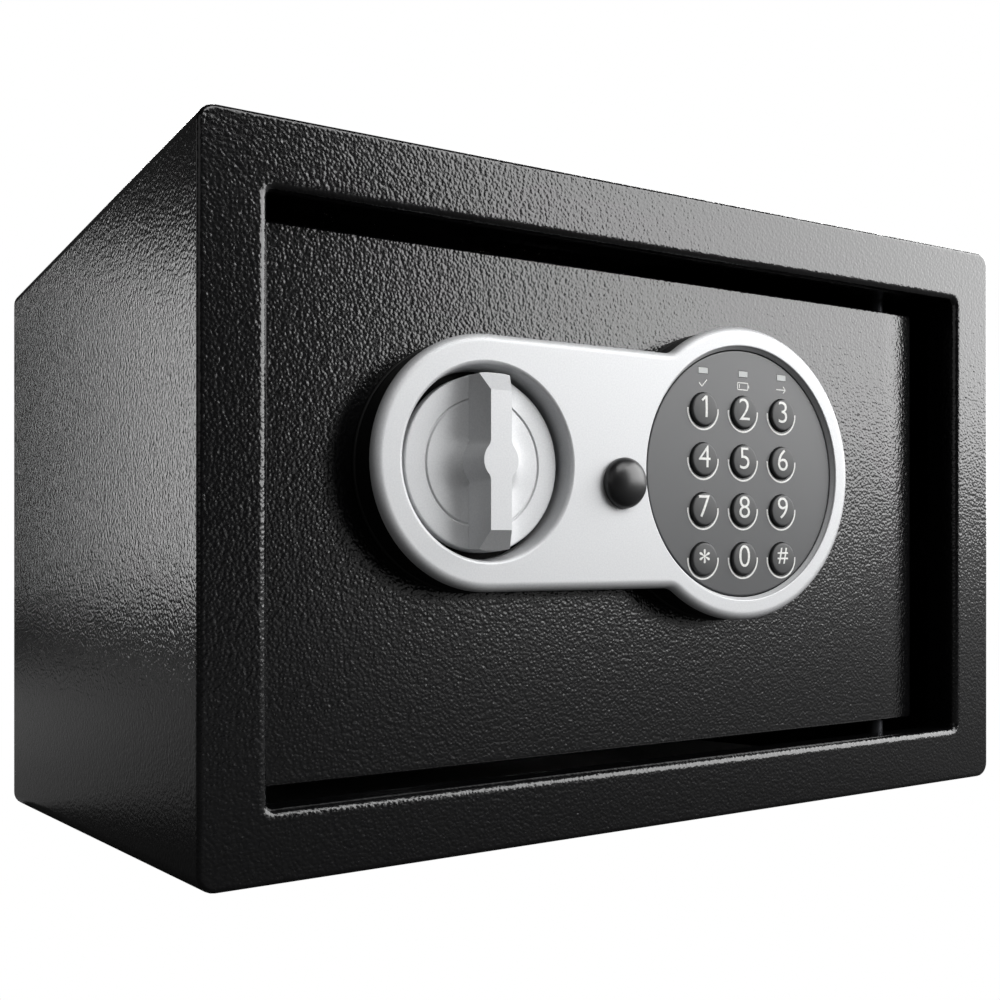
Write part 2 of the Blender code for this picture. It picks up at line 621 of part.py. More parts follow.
def make_bolt_guides(look, parent, origin):
    """Two angle brackets behind the door, each with a hole that guides its bolt."""
    for name, height in zip(("lower", "upper"), BOLT_Z):
        front, z = DOOR_BACK + SEAM, (height - 12 * MM, height + 12 * MM)
        foot = block((-119.5 * MM, -106 * MM), (front, front + 2 * MM), z)
        guide = finish(foot, "bolt_guide_" + name, look, origin, parent, smooth=False)
        join(guide, block((-119.5 * MM, -117 * MM), (front, 36 * MM), z))
        hole = rod(BOLT_RADIUS + 0.3 * MM, -125 * MM, -115 * MM, at(0, BOLT_DEPTH, height), "right", 28)
        cut(guide, hole)


def make_lock_plate(look, parent, origin):
    """The steel plate behind the door that carries the knob shaft, the studs and the solenoid."""
    front = DOOR_BACK + SEAM
    outline = rounded(*between(-100 * MM, -6 * MM, 50 * MM, 134 * MM), 3 * MM, 3)
    plate = finish(prism(outline, front, front + 1.6 * MM), "lock_plate", look, origin, parent)
    for centre, radius in ((KNOB, 4.4 * MM), (LOCK, 8.4 * MM)):
        cut(plate, rod(radius, front - MM, front + 3 * MM, at(centre[0], 0, centre[1])))


def make_solenoid(steel, copper, parent, origin):
    """A steel frame around a round coil; the plunger leaves it through the top."""
    low, high, wall = 56 * MM, 84 * MM, 1.6 * MM
    half = 10 * MM
    depth = (15.2 * MM, 33 * MM)
    centre, width, height = between(PLUNGER_X - half, PLUNGER_X + half, low, high)
    x, z = centre
    outer = [(x - width / 2, z - height / 2), (x + width / 2, z - height / 2)]
    outer += [(x + width / 2, z + height / 2), (x - width / 2, z + height / 2)]
    frame = finish(prism(outer, *depth), "solenoid_frame", steel, origin, parent, smooth=False)
    inside = block((x - half + wall, x + half - wall), (depth[0] + wall, depth[1] + MM),
                   (low + wall, high - wall))
    cut(frame, inside)
    axis = at(PLUNGER_X, BOLT_DEPTH, 0)
    cut(frame, rod(3.9 * MM, high - 4 * MM, high + MM, axis, "up"))
    bore, outside = 3.9 * MM, 7 * MM
    coil_low, coil_high = low + wall + 0.3 * MM, high - wall - 0.3 * MM
    profile = [(bore, coil_low), (outside, coil_low), (outside, coil_high), (bore, coil_high)]
    finish(turned(profile, axis, "up"), "solenoid_coil", copper, origin, parent)


def make_plunger(look, parent, origin):
    collar = 87.6 * MM
    profile = [(0, 64 * MM), (3.5 * MM, 64 * MM), (3.5 * MM, 84.6 * MM), (2.5 * MM, 84.6 * MM)]
    profile += [(2.5 * MM, collar), (4.6 * MM, collar), (4.6 * MM, collar + 1.2 * MM)]
    profile += [(2.5 * MM, collar + 1.2 * MM), (2.5 * MM, PLUNGER_TIP_Z), (0, PLUNGER_TIP_Z)]
    bm = turned(profile, at(PLUNGER_X, BOLT_DEPTH, 0), "up")
    finish(bm, "solenoid_plunger", look, origin, parent)


def sweep(name, points, radius, sides, look, origin, parent):
    """A round wire through points in the part's frame."""
    curve = bpy.data.curves.new(name, "CURVE")
    curve.dimensions = "3D"
    curve.bevel_depth = radius
    curve.bevel_resolution = sides
    curve.use_fill_caps = True
    line = curve.splines.new("POLY")
    line.points.add(len(points) - 1)
    for spot, point in zip(line.points, points):
        spot.co = (*(point - origin), 1)
    curve.materials.append(look)
    made = bpy.data.objects.new(name, curve)
    bpy.context.collection.objects.link(made)
    return attach(made, origin, parent)


def make_plunger_spring(look, parent, origin):
    """A short coil spring between the frame and the plunger's collar."""
    wire, radius, turns, steps = 0.3 * MM, 4.4 * MM, 3, 14
    low, high = 84.15 * MM + wire, 87.45 * MM - wire
    count = turns * steps
    points = []
    for index in range(count + 1):
        turn = math.tau * index / steps
        height = low + (high - low) * index / count
        points.append(at(PLUNGER_X + radius * math.cos(turn), BOLT_DEPTH + radius * math.sin(turn), height))
    sweep("plunger_spring", points, wire, 1, look, origin, parent)


def smooth_route(stops, per_leg):
    """Points along a Catmull-Rom curve through the stops."""
    ends = [stops[0] * 2 - stops[1]] + stops + [stops[-1] * 2 - stops[-2]]
    points = [stops[0]]
    for a, b, c, d in zip(ends, ends[1:], ends[2:], ends[3:]):
        for index in range(1, per_leg + 1):
            t = index / per_leg
            points.append(0.5 * (2 * b + (c - a) * t + (2 * a - 5 * b + 4 * c - d) * t * t
                                 + (3 * b - a - 3 * c + d) * t ** 3))
    return points


def make_wire_harness(look, parent, origin):
    """The sleeved wires from the keypad's board, through the door, to the solenoid."""
    x, z = CABLE
    stops = [at(x, 4.5 * MM, z), at(x, 14 * MM, z), at(x - 2 * MM, 22 * MM, z - 8 * MM)]
    stops += [at(-8 * MM, 25 * MM, 86 * MM), at(-26 * MM, 25 * MM, 73 * MM)]
    stops += [at(-44 * MM, 25 * MM, 70 * MM), at(-58.6 * MM, 25 * MM, 70 * MM)]
    sweep("wire_harness", smooth_route(stops, 4), 1.6 * MM, 2, look, origin, parent)


# ---------------------------------------------------------------- override lock

def make_key_cover(look, parent, origin):
    """The domed plug that hides the override lock."""
    dome, face = 7.8 * MM, TRIM_FRONT - SEAM
    profile = [(0, face - 4.6 * MM)]
    for degrees in (72, 54, 36, 18, 0):
        turn = math.radians(degrees)
        profile.append((dome * math.cos(turn), face - 0.8 * MM - 3.8 * MM * math.sin(turn)))
    profile += [(dome, face), (5.1 * MM, face), (5.1 * MM, -0.6 * MM), (4.2 * MM, -0.6 * MM)]
    profile += [(4.2 * MM, face - 0.8 * MM), (0, face - 0.8 * MM)]
    finish(turned(profile, at(LOCK[0], 0, LOCK[1]), segments=24), "key_cover", look, origin, parent)


def make_lock(housing_look, barrel_look, parent, turning, origin):
    """A round housing through the door and the barrel that the override key turns."""
    place = at(LOCK[0], 0, LOCK[1])
    profile = [(5.5 * MM, 0.2 * MM), (8 * MM, 0.2 * MM), (8 * MM, 30 * MM), (5.5 * MM, 30 * MM)]
    finish(turned(profile, place, segments=24), "lock_housing", housing_look, origin, parent)
    barrel = [(0, 0.6 * MM), (5.2 * MM, 0.6 * MM), (5.2 * MM, 30.4 * MM), (2.4 * MM, 30.4 * MM)]
    barrel += [(2.4 * MM, 34 * MM), (0, 34 * MM)]
    core = finish(turned(barrel, place, segments=24), "lock_barrel", barrel_look, place, turning)
    x, z = LOCK
    cut(core, block((x - 0.6 * MM, x + 0.6 * MM), (-MM, 12 * MM), (z - 3.6 * MM, z + 2 * MM)))
    arm = rounded((x, z + 5.5 * MM), 9 * MM, 20 * MM, 4.2 * MM, 4)
    cam = finish(prism(arm, 30.8 * MM, 32.8 * MM), "lock_cam", housing_look, place, turning)
    cut(cam, rod(2.6 * MM, 30 * MM, 34 * MM, place))


# ---------------------------------------------------------------- battery box

def make_battery_box(look, parent, origin):
    """An open tray behind the door for four cells, one above another."""
    half_x, half_z = 29.5 * MM, 32 * MM
    front, back, wall = 15 * MM, 36 * MM, 1.5 * MM
    x, z = (CELL_X - half_x, CELL_X + half_x), (CELL_Z - half_z, CELL_Z + half_z)
    box = finish(block(x, (front, back), z), "battery_box", look, origin, parent, smooth=False)
    cut(box, block((x[0] + wall, x[1] - wall), (front + wall, back + MM), (z[0] + wall, z[1] - wall)))


def make_batteries(look, parent):
    nub = 1.2 * MM
    for index in range(4):
        height = CELL_Z + (index - 1.5) * CELL_PITCH
        place = at(CELL_X, CELL_DEPTH, height)
        half = CELL_LENGTH / 2
        profile = [(0, -half), (CELL_RADIUS, -half), (CELL_RADIUS, half - nub), (2.7 * MM, half - nub)]
        profile += [(2.7 * MM, half), (0, half)]
        finish(turned(profile, place, "right"), f"battery_{index + 1}", look, place, parent)


def make_battery_lid(look, parent, origin):
    """The hatch over the cells, with a raised finger bar."""
    outline = battery_hatch()
    lid = finish(prism(outline, COVER_BACK - COVER_WALL, COVER_BACK), "battery_lid", look, origin, parent)
    for step in range(3):
        z = CELL_Z + 24 * MM - step * 3 * MM
        x = (CELL_X - 9 * MM, CELL_X + 9 * MM)
        join(lid, block(x, (COVER_BACK - 0.5 * MM, COVER_BACK + 0.8 * MM), (z - 0.6 * MM, z + 0.6 * MM)))


def make_reset_button(look, parent):
    place = at(RESET[0], COVER_BACK, RESET[1])
    profile = [(0, -3.4 * MM), (4.4 * MM, -3.4 * MM), (4.4 * MM, -1.5 * MM), (3 * MM, -1.5 * MM)]
    profile += [(3 * MM, 1.4 * MM), (2.5 * MM, 1.8 * MM), (0, 1.9 * MM)]
    finish(turned(profile, place, segments=16), "reset_button", look, place, parent)


def make_reset_switch(look, parent, origin):
    """The tall switch that stands on the door under the reset button."""
    x, z = RESET
    half = 3.6 * MM
    bm = block((x - half, x + half), (DOOR_BACK + SEAM, 37 * MM), (z - half, z + half))
    finish(bm, "reset_switch", look, origin, parent, smooth=False)


# ---------------------------------------------------------------- the whole safe

def main():
    clear_scene()
    coat = paint("black powder coat", (0.012, 0.012, 0.013), 0.42)
    silver = paint("silver plastic", (0.78, 0.79, 0.80), 0.32)
    grey = paint("grey keypad plastic", (0.075, 0.078, 0.082), 0.5)
    rubber = paint("black rubber", (0.018, 0.018, 0.02), 0.3)
    plastic = paint("black plastic", (0.02, 0.02, 0.021), 0.45)
    zinc = paint("zinc-plated steel", (0.55, 0.56, 0.58), 0.35, 1.0)
    chrome = paint("chromed steel", (0.80, 0.81, 0.83), 0.12, 1.0)
    copper = paint("copper winding", (0.45, 0.16, 0.06), 0.45, 0.6)
    brass = paint("brass", (0.66, 0.46, 0.17), 0.3, 1.0)
    felt = paint("black felt", (0.02, 0.02, 0.022), 0.95)
    board = paint("green circuit board", (0.02, 0.12, 0.05), 0.5)
    clear = paint("clear light guide", (0.75, 0.78, 0.76), 0.25)
    red = paint("red plastic", (0.5, 0.02, 0.02), 0.4)
    jacket = paint("battery jacket", (0.03, 0.10, 0.28), 0.35)

    cabinet = empty("cabinet", Vector())
    hinge = at(HINGE_X, HINGE_DEPTH, HEIGHT / 2)
    door = empty("door", hinge, cabinet)
    knob_axis = at(KNOB[0], 0, KNOB[1])
    knob_turn = empty("knob_turn", knob_axis, door)
    bolt_line = at(0, BOLT_DEPTH, KNOB[1])
    bolt_slide = empty("bolt_slide", bolt_line, door)
    lock_axis = at(LOCK[0], 0, LOCK[1])
    lock_turn = empty("lock_turn", lock_axis, door)
    plunger_axis = at(PLUNGER_X, BOLT_DEPTH, 84 * MM)
    plunger_slide = empty("plunger_slide", plunger_axis, door)

    make_cabinet_wrap(coat, cabinet)
    make_front_frame(coat, cabinet)
    make_back_panel(coat, cabinet)
    make_floor_mat(felt, cabinet)
    make_hinge_bracket("hinge_bracket_lower", -1, coat, cabinet)
    make_hinge_bracket("hinge_bracket_upper", 1, coat, cabinet)

    make_door_plate(coat, door, hinge)
    make_hinge_pin("hinge_pin_lower", -1, zinc, door, hinge)
    make_hinge_pin("hinge_pin_upper", 1, zinc, door, hinge)
    make_inner_cover(coat, door, hinge)
    make_cover_screws(zinc, door, hinge)
    make_trim_base(plastic, door, hinge)
    make_trim(silver, door, hinge)
    make_keypad_panel(grey, door, hinge)
    make_light_guide(clear, door, hinge)
    make_keys(rubber, door)
    make_keypad_board(board, door, hinge)

    make_knob(silver, knob_turn, knob_axis)
    make_knob_shaft(zinc, knob_turn, knob_axis)
    make_knob_crank(zinc, knob_turn, knob_axis)
    make_shaft_clip(zinc, knob_turn, knob_axis)
    make_bolt_carriage(zinc, bolt_slide, bolt_line)
    make_bolts(chrome, bolt_slide)
    make_bolt_guides(zinc, door, hinge)
    make_guide_studs(zinc, door, hinge)
    make_lock_plate(zinc, door, hinge)
    make_solenoid(zinc, copper, door, hinge)
    make_plunger(zinc, plunger_slide, plunger_axis)
    make_plunger_spring(zinc, door, plunger_axis)
    make_wire_harness(plastic, door, hinge)

    make_key_cover(rubber, door, lock_axis)
    make_lock(zinc, brass, door, lock_turn, hinge)

    make_battery_box(plastic, door, hinge)
    make_batteries(jacket, door)
    make_battery_lid(coat, door, at(CELL_X, COVER_BACK, CELL_Z))
    make_reset_button(red, door)
    make_reset_switch(plastic, door, hinge)


main()
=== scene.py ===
"""Looks of the small in-room safe: textured steel cabinet, silver lock trim, keypad and bolt work.

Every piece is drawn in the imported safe's own frame, +Z up and the door towards -Y. Depths are
measured back from the cabinet's front face, and at() turns them into +Y.
"""
import json
import math

import bmesh
import bpy
from mathutils import Matrix, Vector


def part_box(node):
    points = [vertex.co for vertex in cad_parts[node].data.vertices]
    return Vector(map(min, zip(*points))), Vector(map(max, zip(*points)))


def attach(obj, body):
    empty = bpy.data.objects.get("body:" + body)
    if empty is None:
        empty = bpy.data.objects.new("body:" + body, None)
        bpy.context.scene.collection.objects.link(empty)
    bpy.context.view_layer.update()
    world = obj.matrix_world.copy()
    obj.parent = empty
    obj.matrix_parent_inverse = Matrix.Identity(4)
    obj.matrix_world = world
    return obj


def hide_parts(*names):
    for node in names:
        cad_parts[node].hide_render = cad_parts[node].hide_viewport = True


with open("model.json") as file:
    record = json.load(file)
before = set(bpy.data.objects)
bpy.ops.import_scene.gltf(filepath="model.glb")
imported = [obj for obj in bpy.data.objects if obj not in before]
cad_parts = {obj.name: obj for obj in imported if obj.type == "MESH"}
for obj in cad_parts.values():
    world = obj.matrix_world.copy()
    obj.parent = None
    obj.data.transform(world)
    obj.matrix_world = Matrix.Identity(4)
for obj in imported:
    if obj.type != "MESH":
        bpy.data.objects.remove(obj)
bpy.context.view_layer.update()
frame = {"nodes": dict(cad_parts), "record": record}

MM = 0.001


def middle(node):
    low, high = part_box(node)
    return (low + high) / 2


WRAP_LOW, WRAP_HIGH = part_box("cabinet_wrap")
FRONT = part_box("front_frame")[0].y
DEPTH = WRAP_HIGH.y - FRONT
HEIGHT = WRAP_HIGH.z
SHEET = 1.5 * MM                    # steel of the cabinet
COVER_SHEET = 1.2 * MM              # steel of the cover behind the door
SEAM = 0.15 * MM                    # gap between two pieces that are fixed together

KNOB, KEYPAD, LOCK = middle("knob"), middle("keypad_panel"), middle("lock_housing")
TRIM_LOW, TRIM_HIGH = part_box("trim")
TRIM_FACE = TRIM_LOW.y - FRONT
TRIM_END_RADIUS = (TRIM_HIGH.z - TRIM_LOW.z) / 2 - 11 * MM
TRIM_PAD_RADIUS = (TRIM_HIGH.z - TRIM_LOW.z) / 2
KEY_NAMES = ["1", "2", "3", "4", "5", "6", "7", "8", "9", "star", "0", "hash"]
KEY_SIGNS = dict(zip(KEY_NAMES, "123456789*0#"))


def at(x, depth, z):
    """A point in the safe's frame from a depth behind the cabinet's front face."""
    return Vector((x, FRONT + depth, z))


def depth_of(node):
    """The depths of a node's front and back."""
    low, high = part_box(node)
    return low.y - FRONT, high.y - FRONT


# ---------------------------------------------------------------- shapes

def arc(centre, radius, start, end, steps):
    """Points along an arc, its angles in degrees counter-clockwise from the first axis."""
    turn = [math.radians(start + (end - start) * i / steps) for i in range(steps + 1)]
    return [(centre[0] + radius * math.cos(t), centre[1] + radius * math.sin(t)) for t in turn]


def rounded(low, high, radius, steps=6):
    """The outline of a rectangle between two corners (x, z), with round corners."""
    points = []
    for x, z, start in ((high[0], high[1], 0), (low[0], high[1], 90),
                        (low[0], low[1], 180), (high[0], low[1], 270)):
        inward_x = -radius if x == high[0] else radius
        inward_z = -radius if z == high[1] else radius
        points += arc((x + inward_x, z + inward_z), radius, start, start + 90, steps)
    return points


def box_outline(low, high, corner, least=0.0, steps=6):
    """A function that gives a node's box as an outline, drawn in by an inset."""
    def outline(inset=0.0):
        return rounded((low.x + inset, low.z + inset), (high.x - inset, high.z - inset),
                       max(corner - inset, least), steps)
    return outline


def loft(sections, closed=False):
    """A skin through sections of (outline, depth), capped, or closed on itself like a tyre."""
    bm = bmesh.new()
    outline, depth = sections[0]
    ring = [bm.verts.new(at(x, depth, z)) for x, z in outline]
    edges = [bm.edges.new(pair) for pair in zip(ring, ring[1:] + ring[:1])]
    if not closed:
        bmesh.ops.contextual_create(bm, geom=edges)
    for outline, depth in sections[1:] + sections[:1] if closed else sections[1:]:
        pushed = set(bmesh.ops.extrude_edge_only(bm, edges=edges)["geom"])
        ring = [next(edge.other_vert(old) for edge in old.link_edges if edge.other_vert(old) in pushed)
                for old in ring]
        edges = [bm.edges.get(pair) for pair in zip(ring, ring[1:] + ring[:1])]
        for vert, (x, z) in zip(ring, outline):
            vert.co = at(x, depth, z)
    if not closed:
        bmesh.ops.contextual_create(bm, geom=edges)
    return bm


def slab(outline, front, back):
    """An outline made solid between two depths."""
    return loft([(outline, front), (outline, back)])


DIRECTIONS = {
    "back": Matrix.Rotation(math.radians(-90), 4, "X"),
    "up": Matrix.Identity(4),
    "right": Matrix.Rotation(math.radians(90), 4, "Y"),
}


def turned(profile, place, way="back", segments=64):
    """A profile of (radius, distance) points turned about an axis through place."""
    bm = bmesh.new()
    verts = [bm.verts.new((radius, 0, along)) for radius, along in profile]
    edges = [bm.edges.new(pair) for pair in zip(verts, verts[1:])]
    if profile[0][0] > 0 and profile[-1][0] > 0:
        edges.append(bm.edges.new((verts[-1], verts[0])))
    bmesh.ops.spin(bm, geom=verts + edges, cent=(0, 0, 0), axis=(0, 0, 1),
                   angle=math.tau, steps=segments, use_merge=True)
    bmesh.ops.transform(bm, verts=bm.verts, matrix=Matrix.Translation(place) @ DIRECTIONS[way])
    return bm


def rod(radius, start, end, place, way="back", segments=48):
    return turned([(0, start), (radius, start), (radius, end), (0, end)], place, way, segments)


def rim(inset_and_depth, outline_of):
    """Loft sections from pairs of (inset, depth) and a function that gives the outline at an inset."""
    return [(outline_of(inset), depth) for inset, depth in inset_and_depth]


# ---------------------------------------------------------------- pieces

def draft(bm, name):
    """An object from a bmesh, closed and facing outwards, that isn't a finished piece yet."""
    bmesh.ops.remove_doubles(bm, verts=bm.verts, dist=1e-7)
    bmesh.ops.recalc_face_normals(bm, faces=bm.faces)
    mesh = bpy.data.meshes.new(name)
    bm.to_mesh(mesh)
    bm.free()
    made = bpy.data.objects.new(name, mesh)
    bpy.context.scene.collection.objects.link(made)
    return made


def settle(made):
    """Apply an object's modifiers to its mesh."""
    bpy.context.view_layer.update()
    graph = bpy.context.evaluated_depsgraph_get()
    shape = bpy.data.meshes.new_from_object(made.evaluated_get(graph))
    made.modifiers.clear()
    made.data = shape
    return made


def carve(made, bm, operation="DIFFERENCE"):
    """Cut a shape out of an object, or join it on."""
    tool = draft(bm, "tool")
    step = made.modifiers.new("carve", "BOOLEAN")
    step.operation = operation
    step.object = tool
    settle(made)
    bpy.data.objects.remove(tool)
    return made


def join(made, bm):
    return carve(made, bm, "UNION")


def soften(made, width, segments=3, angle=40):
    """Round the sharp edges."""
    step = made.modifiers.new("soften", "BEVEL")
    step.width = width
    step.segments = segments
    step.limit_method = "ANGLE"
    step.angle_limit = math.radians(angle)
    step.harden_normals = False
    return settle(made)


def finish(made, look, body, instead_of=(), sharp=32):
    """Shade an object, give it its finish and hang it on its body."""
    made.data.shade_smooth()
    made.data.set_sharp_from_angle(angle=math.radians(sharp))
    even = made.modifiers.new("even", "WEIGHTED_NORMAL")
    even.keep_sharp = True
    settle(made)
    made.data.materials.clear()
    made.data.materials.append(look)
    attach(made, body)
    if instead_of:
        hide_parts(*instead_of)
    return made


# ---------------------------------------------------------------- materials

def colour(code):
    """A linear colour from its sRGB hex code."""
    parts = [int(code[i:i + 2], 16) / 255 for i in (1, 3, 5)]
    return (*[c / 12.92 if c <= 0.04045 else ((c + 0.055) / 1.055) ** 2.4 for c in parts], 1.0)


def add(tree, kind, inputs=None, **settings):
    """A node with its settings; each input is a value, or an output to link from."""
    made = tree.nodes.new(kind)
    for name, value in settings.items():
        setattr(made, name, value)
    for name, value in (inputs or {}).items():
        if isinstance(value, bpy.types.NodeSocket):
            tree.links.new(value, made.inputs[name])
        else:
            made.inputs[name].default_value = value
    return made


def material(name, base, roughness, metallic=0.0, **more):
    """A Principled material, its node tree and its surface node."""
    made = bpy.data.materials.new(name)
    made.use_nodes = True
    surface = made.node_tree.nodes["Principled BSDF"]
    surface.inputs["Base Color"].default_value = colour(base)
    surface.inputs["Roughness"].default_value = roughness
    surface.inputs["Metallic"].default_value = metallic
    for socket, value in more.items():
        surface.inputs[socket.replace("_", " ")].default_value = value
    return made, made.node_tree, surface


def place_of(tree):
    return add(tree, "ShaderNodeTexCoord").outputs["Object"]


def ramp(tree, source, low, high, start=0.0, end=1.0):
    """A colour ramp between two colours."""
    made = add(tree, "ShaderNodeValToRGB", {"Fac": source})
    first, last = made.color_ramp.elements
    first.position, last.position = start, end
    first.color, last.color = low, high
    return made.outputs["Color"]


def bump(tree, surface, height, distance, strength=1.0):
    made = add(tree, "ShaderNodeBump", {"Height": height, "Distance": distance, "Strength": strength})
    tree.links.new(made.outputs["Normal"], surface.inputs["Normal"])
    return made


def vary(tree, source, low, high):
    """A value that runs between low and high as the source runs from 0 to 1."""
    return add(tree, "ShaderNodeMapRange",
               {"Value": source, "To Min": low, "To Max": high}).outputs["Result"]


def powder_coat():
    """Polyester powder coat, sprayed and baked to a leather texture: satin black with fine
    pebbles and short ridges that break every reflection into grains."""
    pebble, grain = 0.8 * MM, 0.35 * MM
    made, tree, surface = material("powder coat, baked leather texture", "#070708", 0.2)
    place = place_of(tree)
    ridges = add(tree, "ShaderNodeTexNoise", {"Vector": place, "Scale": 0.5 / pebble, "Detail": 2.0,
                                              "Roughness": 0.5, "Distortion": 0.5})
    cells = add(tree, "ShaderNodeTexVoronoi", {"Vector": place, "Scale": 0.8 / pebble, "Smoothness": 0.6},
                feature="SMOOTH_F1")
    fine = add(tree, "ShaderNodeTexNoise", {"Vector": place, "Scale": 0.5 / grain, "Detail": 1.0})
    pebbles = add(tree, "ShaderNodeMath", {0: ridges.outputs["Fac"], 1: cells.outputs["Distance"]},
                  operation="SUBTRACT")
    height = add(tree, "ShaderNodeMath", {0: fine.outputs["Fac"], 1: 0.1, 2: pebbles.outputs[0]},
                 operation="MULTIPLY_ADD")
    bump(tree, surface, height.outputs[0], 0.085 * MM)
    tree.links.new(vary(tree, fine.outputs["Fac"], 0.14, 0.2), surface.inputs["Roughness"])
    tree.links.new(ramp(tree, ridges.outputs["Fac"], colour("#050506"), colour("#0a0a0b"), 0.3, 0.7),
                   surface.inputs["Base Color"])
    return made


def silver_paint():
    """ABS moulding, sprayed silver and lacquered: pale satin with a very fine flake."""
    flake = 0.25 * MM
    made, tree, surface = material("silver lacquer on ABS", "#c0c1c3", 0.5, 0.3)
    speck = add(tree, "ShaderNodeTexNoise", {"Vector": place_of(tree), "Scale": 0.5 / flake, "Detail": 1.0})
    tree.links.new(vary(tree, speck.outputs["Fac"], 0.46, 0.54), surface.inputs["Roughness"])
    tree.links.new(ramp(tree, speck.outputs["Fac"], colour("#bcbdbf"), colour("#c5c6c7"), 0.3, 0.7),
                   surface.inputs["Base Color"])
    return made


def moulded(name, base, roughness, grain, depth, spread=0.05, **more):
    """A moulded plastic or rubber whose tool left a fine grain."""
    made, tree, surface = material(name, base, roughness, **more)
    speck = add(tree, "ShaderNodeTexNoise", {"Vector": place_of(tree), "Scale": 0.5 / grain, "Detail": 2.0})
    tree.links.new(vary(tree, speck.outputs["Fac"], roughness - spread, roughness + spread),
                   surface.inputs["Roughness"])
    bump(tree, surface, speck.outputs["Fac"], depth)
    return made


def zinc_plate():
    """Pressed steel, bright zinc plated: a soft metal with faint cloudy spangle and rolling lines."""
    made, tree, surface = material("zinc plate on pressed steel", "#b9bcc0", 0.32, 1.0)
    place = place_of(tree)
    cloud = add(tree, "ShaderNodeTexNoise", {"Vector": place, "Scale": 0.5 / (6 * MM), "Detail": 3.0})
    lines = add(tree, "ShaderNodeMapping", {"Vector": place, "Scale": (1.0, 1.0, 30.0)})
    rolled = add(tree, "ShaderNodeTexNoise", {"Vector": lines.outputs["Vector"], "Scale": 0.5 / (5 * MM)})
    tree.links.new(vary(tree, cloud.outputs["Fac"], 0.24, 0.42), surface.inputs["Roughness"])
    tree.links.new(ramp(tree, cloud.outputs["Fac"], colour("#a9acb1"), colour("#c6c8cb"), 0.35, 0.65),
                   surface.inputs["Base Color"])
    bump(tree, surface, rolled.outputs["Fac"], 0.02 * MM)
    return made


def turned_metal(name, base, roughness, pitch, along, depth=0.004 * MM):
    """Metal off the lathe: tool marks run round the axis at one pitch."""
    made, tree, surface = material(name, base, roughness, 1.0)
    marks = add(tree, "ShaderNodeTexWave", {"Vector": place_of(tree), "Scale": math.tau / (20 * pitch),
                                            "Distortion": 1.5, "Detail": 1.0},
                bands_direction=along, wave_type="BANDS")
    bump(tree, surface, marks.outputs["Fac"], depth)
    tree.links.new(vary(tree, marks.outputs["Fac"], roughness - 0.03, roughness + 0.05),
                   surface.inputs["Roughness"])
    return made


def copper_winding():
    """Enamelled copper wire, close wound: 0.4 mm turns, with a dark line of painted shade in the groove
    between them.
    """
    wire = 0.4 * MM
    made, tree, surface = material("enamelled copper winding", "#a8552a", 0.3, 0.9, Coat_Weight=0.6)
    turns = add(tree, "ShaderNodeTexWave", {"Vector": place_of(tree), "Scale": math.tau / (20 * wire)},
                bands_direction="Z", wave_type="BANDS")
    bump(tree, surface, turns.outputs["Fac"], 0.15 * MM)
    # the ramp darkens the troughs of the bands: painted shade in the grooves between the turns
    tree.links.new(ramp(tree, turns.outputs["Fac"], colour("#4d2110"), colour("#b8622f"), 0.1, 0.5),
                   surface.inputs["Base Color"])
    return made


def circuit_board():
    """Fibreglass board under green solder mask, with pale tracks 0.6 mm apart showing through."""
    made, tree, surface = material("green solder mask on fibreglass", "#0e4a26", 0.28, Coat_Weight=0.4)
    cells = add(tree, "ShaderNodeTexVoronoi", {"Vector": place_of(tree), "Scale": 1 / (4 * MM)},
                feature="DISTANCE_TO_EDGE", distance="CHEBYCHEV")
    tracks = ramp(tree, cells.outputs["Distance"], colour("#1f7a3d"), colour("#0b3f20"), 0.06, 0.09)
    tree.links.new(tracks, surface.inputs["Base Color"])
    return made


def battery_jacket():
    """Shrunk printed film on a steel can: a blue body with a copper-coloured end band."""
    made, tree, surface = material("printed film on steel can", "#12315f", 0.22, Coat_Weight=0.5)
    low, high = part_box("battery_1")
    split = add(tree, "ShaderNodeSeparateXYZ", {0: place_of(tree)})
    share = add(tree, "ShaderNodeMapRange",
                {"Value": split.outputs["X"], "From Min": low.x, "From Max": high.x})
    bands = add(tree, "ShaderNodeValToRGB", {"Fac": share.outputs["Result"]})
    bands.color_ramp.interpolation = "CONSTANT"
    first, last = bands.color_ramp.elements
    first.color, last.color = colour("#16386b"), colour("#b9bbbd")
    last.position = 0.97
    copper = bands.color_ramp.elements.new(0.76)
    copper.color = colour("#b5713c")
    tree.links.new(bands.outputs["Color"], surface.inputs["Base Color"])
    return made


def felt():
    """Needle-punched polyester felt: matt black with short crossed fibres and a little sheen."""
    fibre = 0.35 * MM
    made, tree, surface = material("needle-punched felt", "#111112", 0.95, Sheen_Weight=0.25)
    place = place_of(tree)
    laid = []
    for angle in (35, -40):
        turn = add(tree, "ShaderNodeMapping", {"Vector": place, "Rotation": (0, 0, math.radians(angle)),
                                               "Scale": (1.0, 6.0, 1.0)})
        laid.append(add(tree, "ShaderNodeTexNoise", {"Vector": turn.outputs["Vector"],
                                                     "Scale": 0.5 / (4 * fibre), "Detail": 3.0,
                                                     "Distortion": 0.6}).outputs["Fac"])
    crossed = add(tree, "ShaderNodeMath", {0: laid[0], 1: laid[1]}, operation="MAXIMUM").outputs[0]
    bump(tree, surface, crossed, 0.4 * MM)
    tree.links.new(ramp(tree, crossed, colour("#08080a"), colour("#232326"), 0.4, 0.75),
                   surface.inputs["Base Color"])
    return made


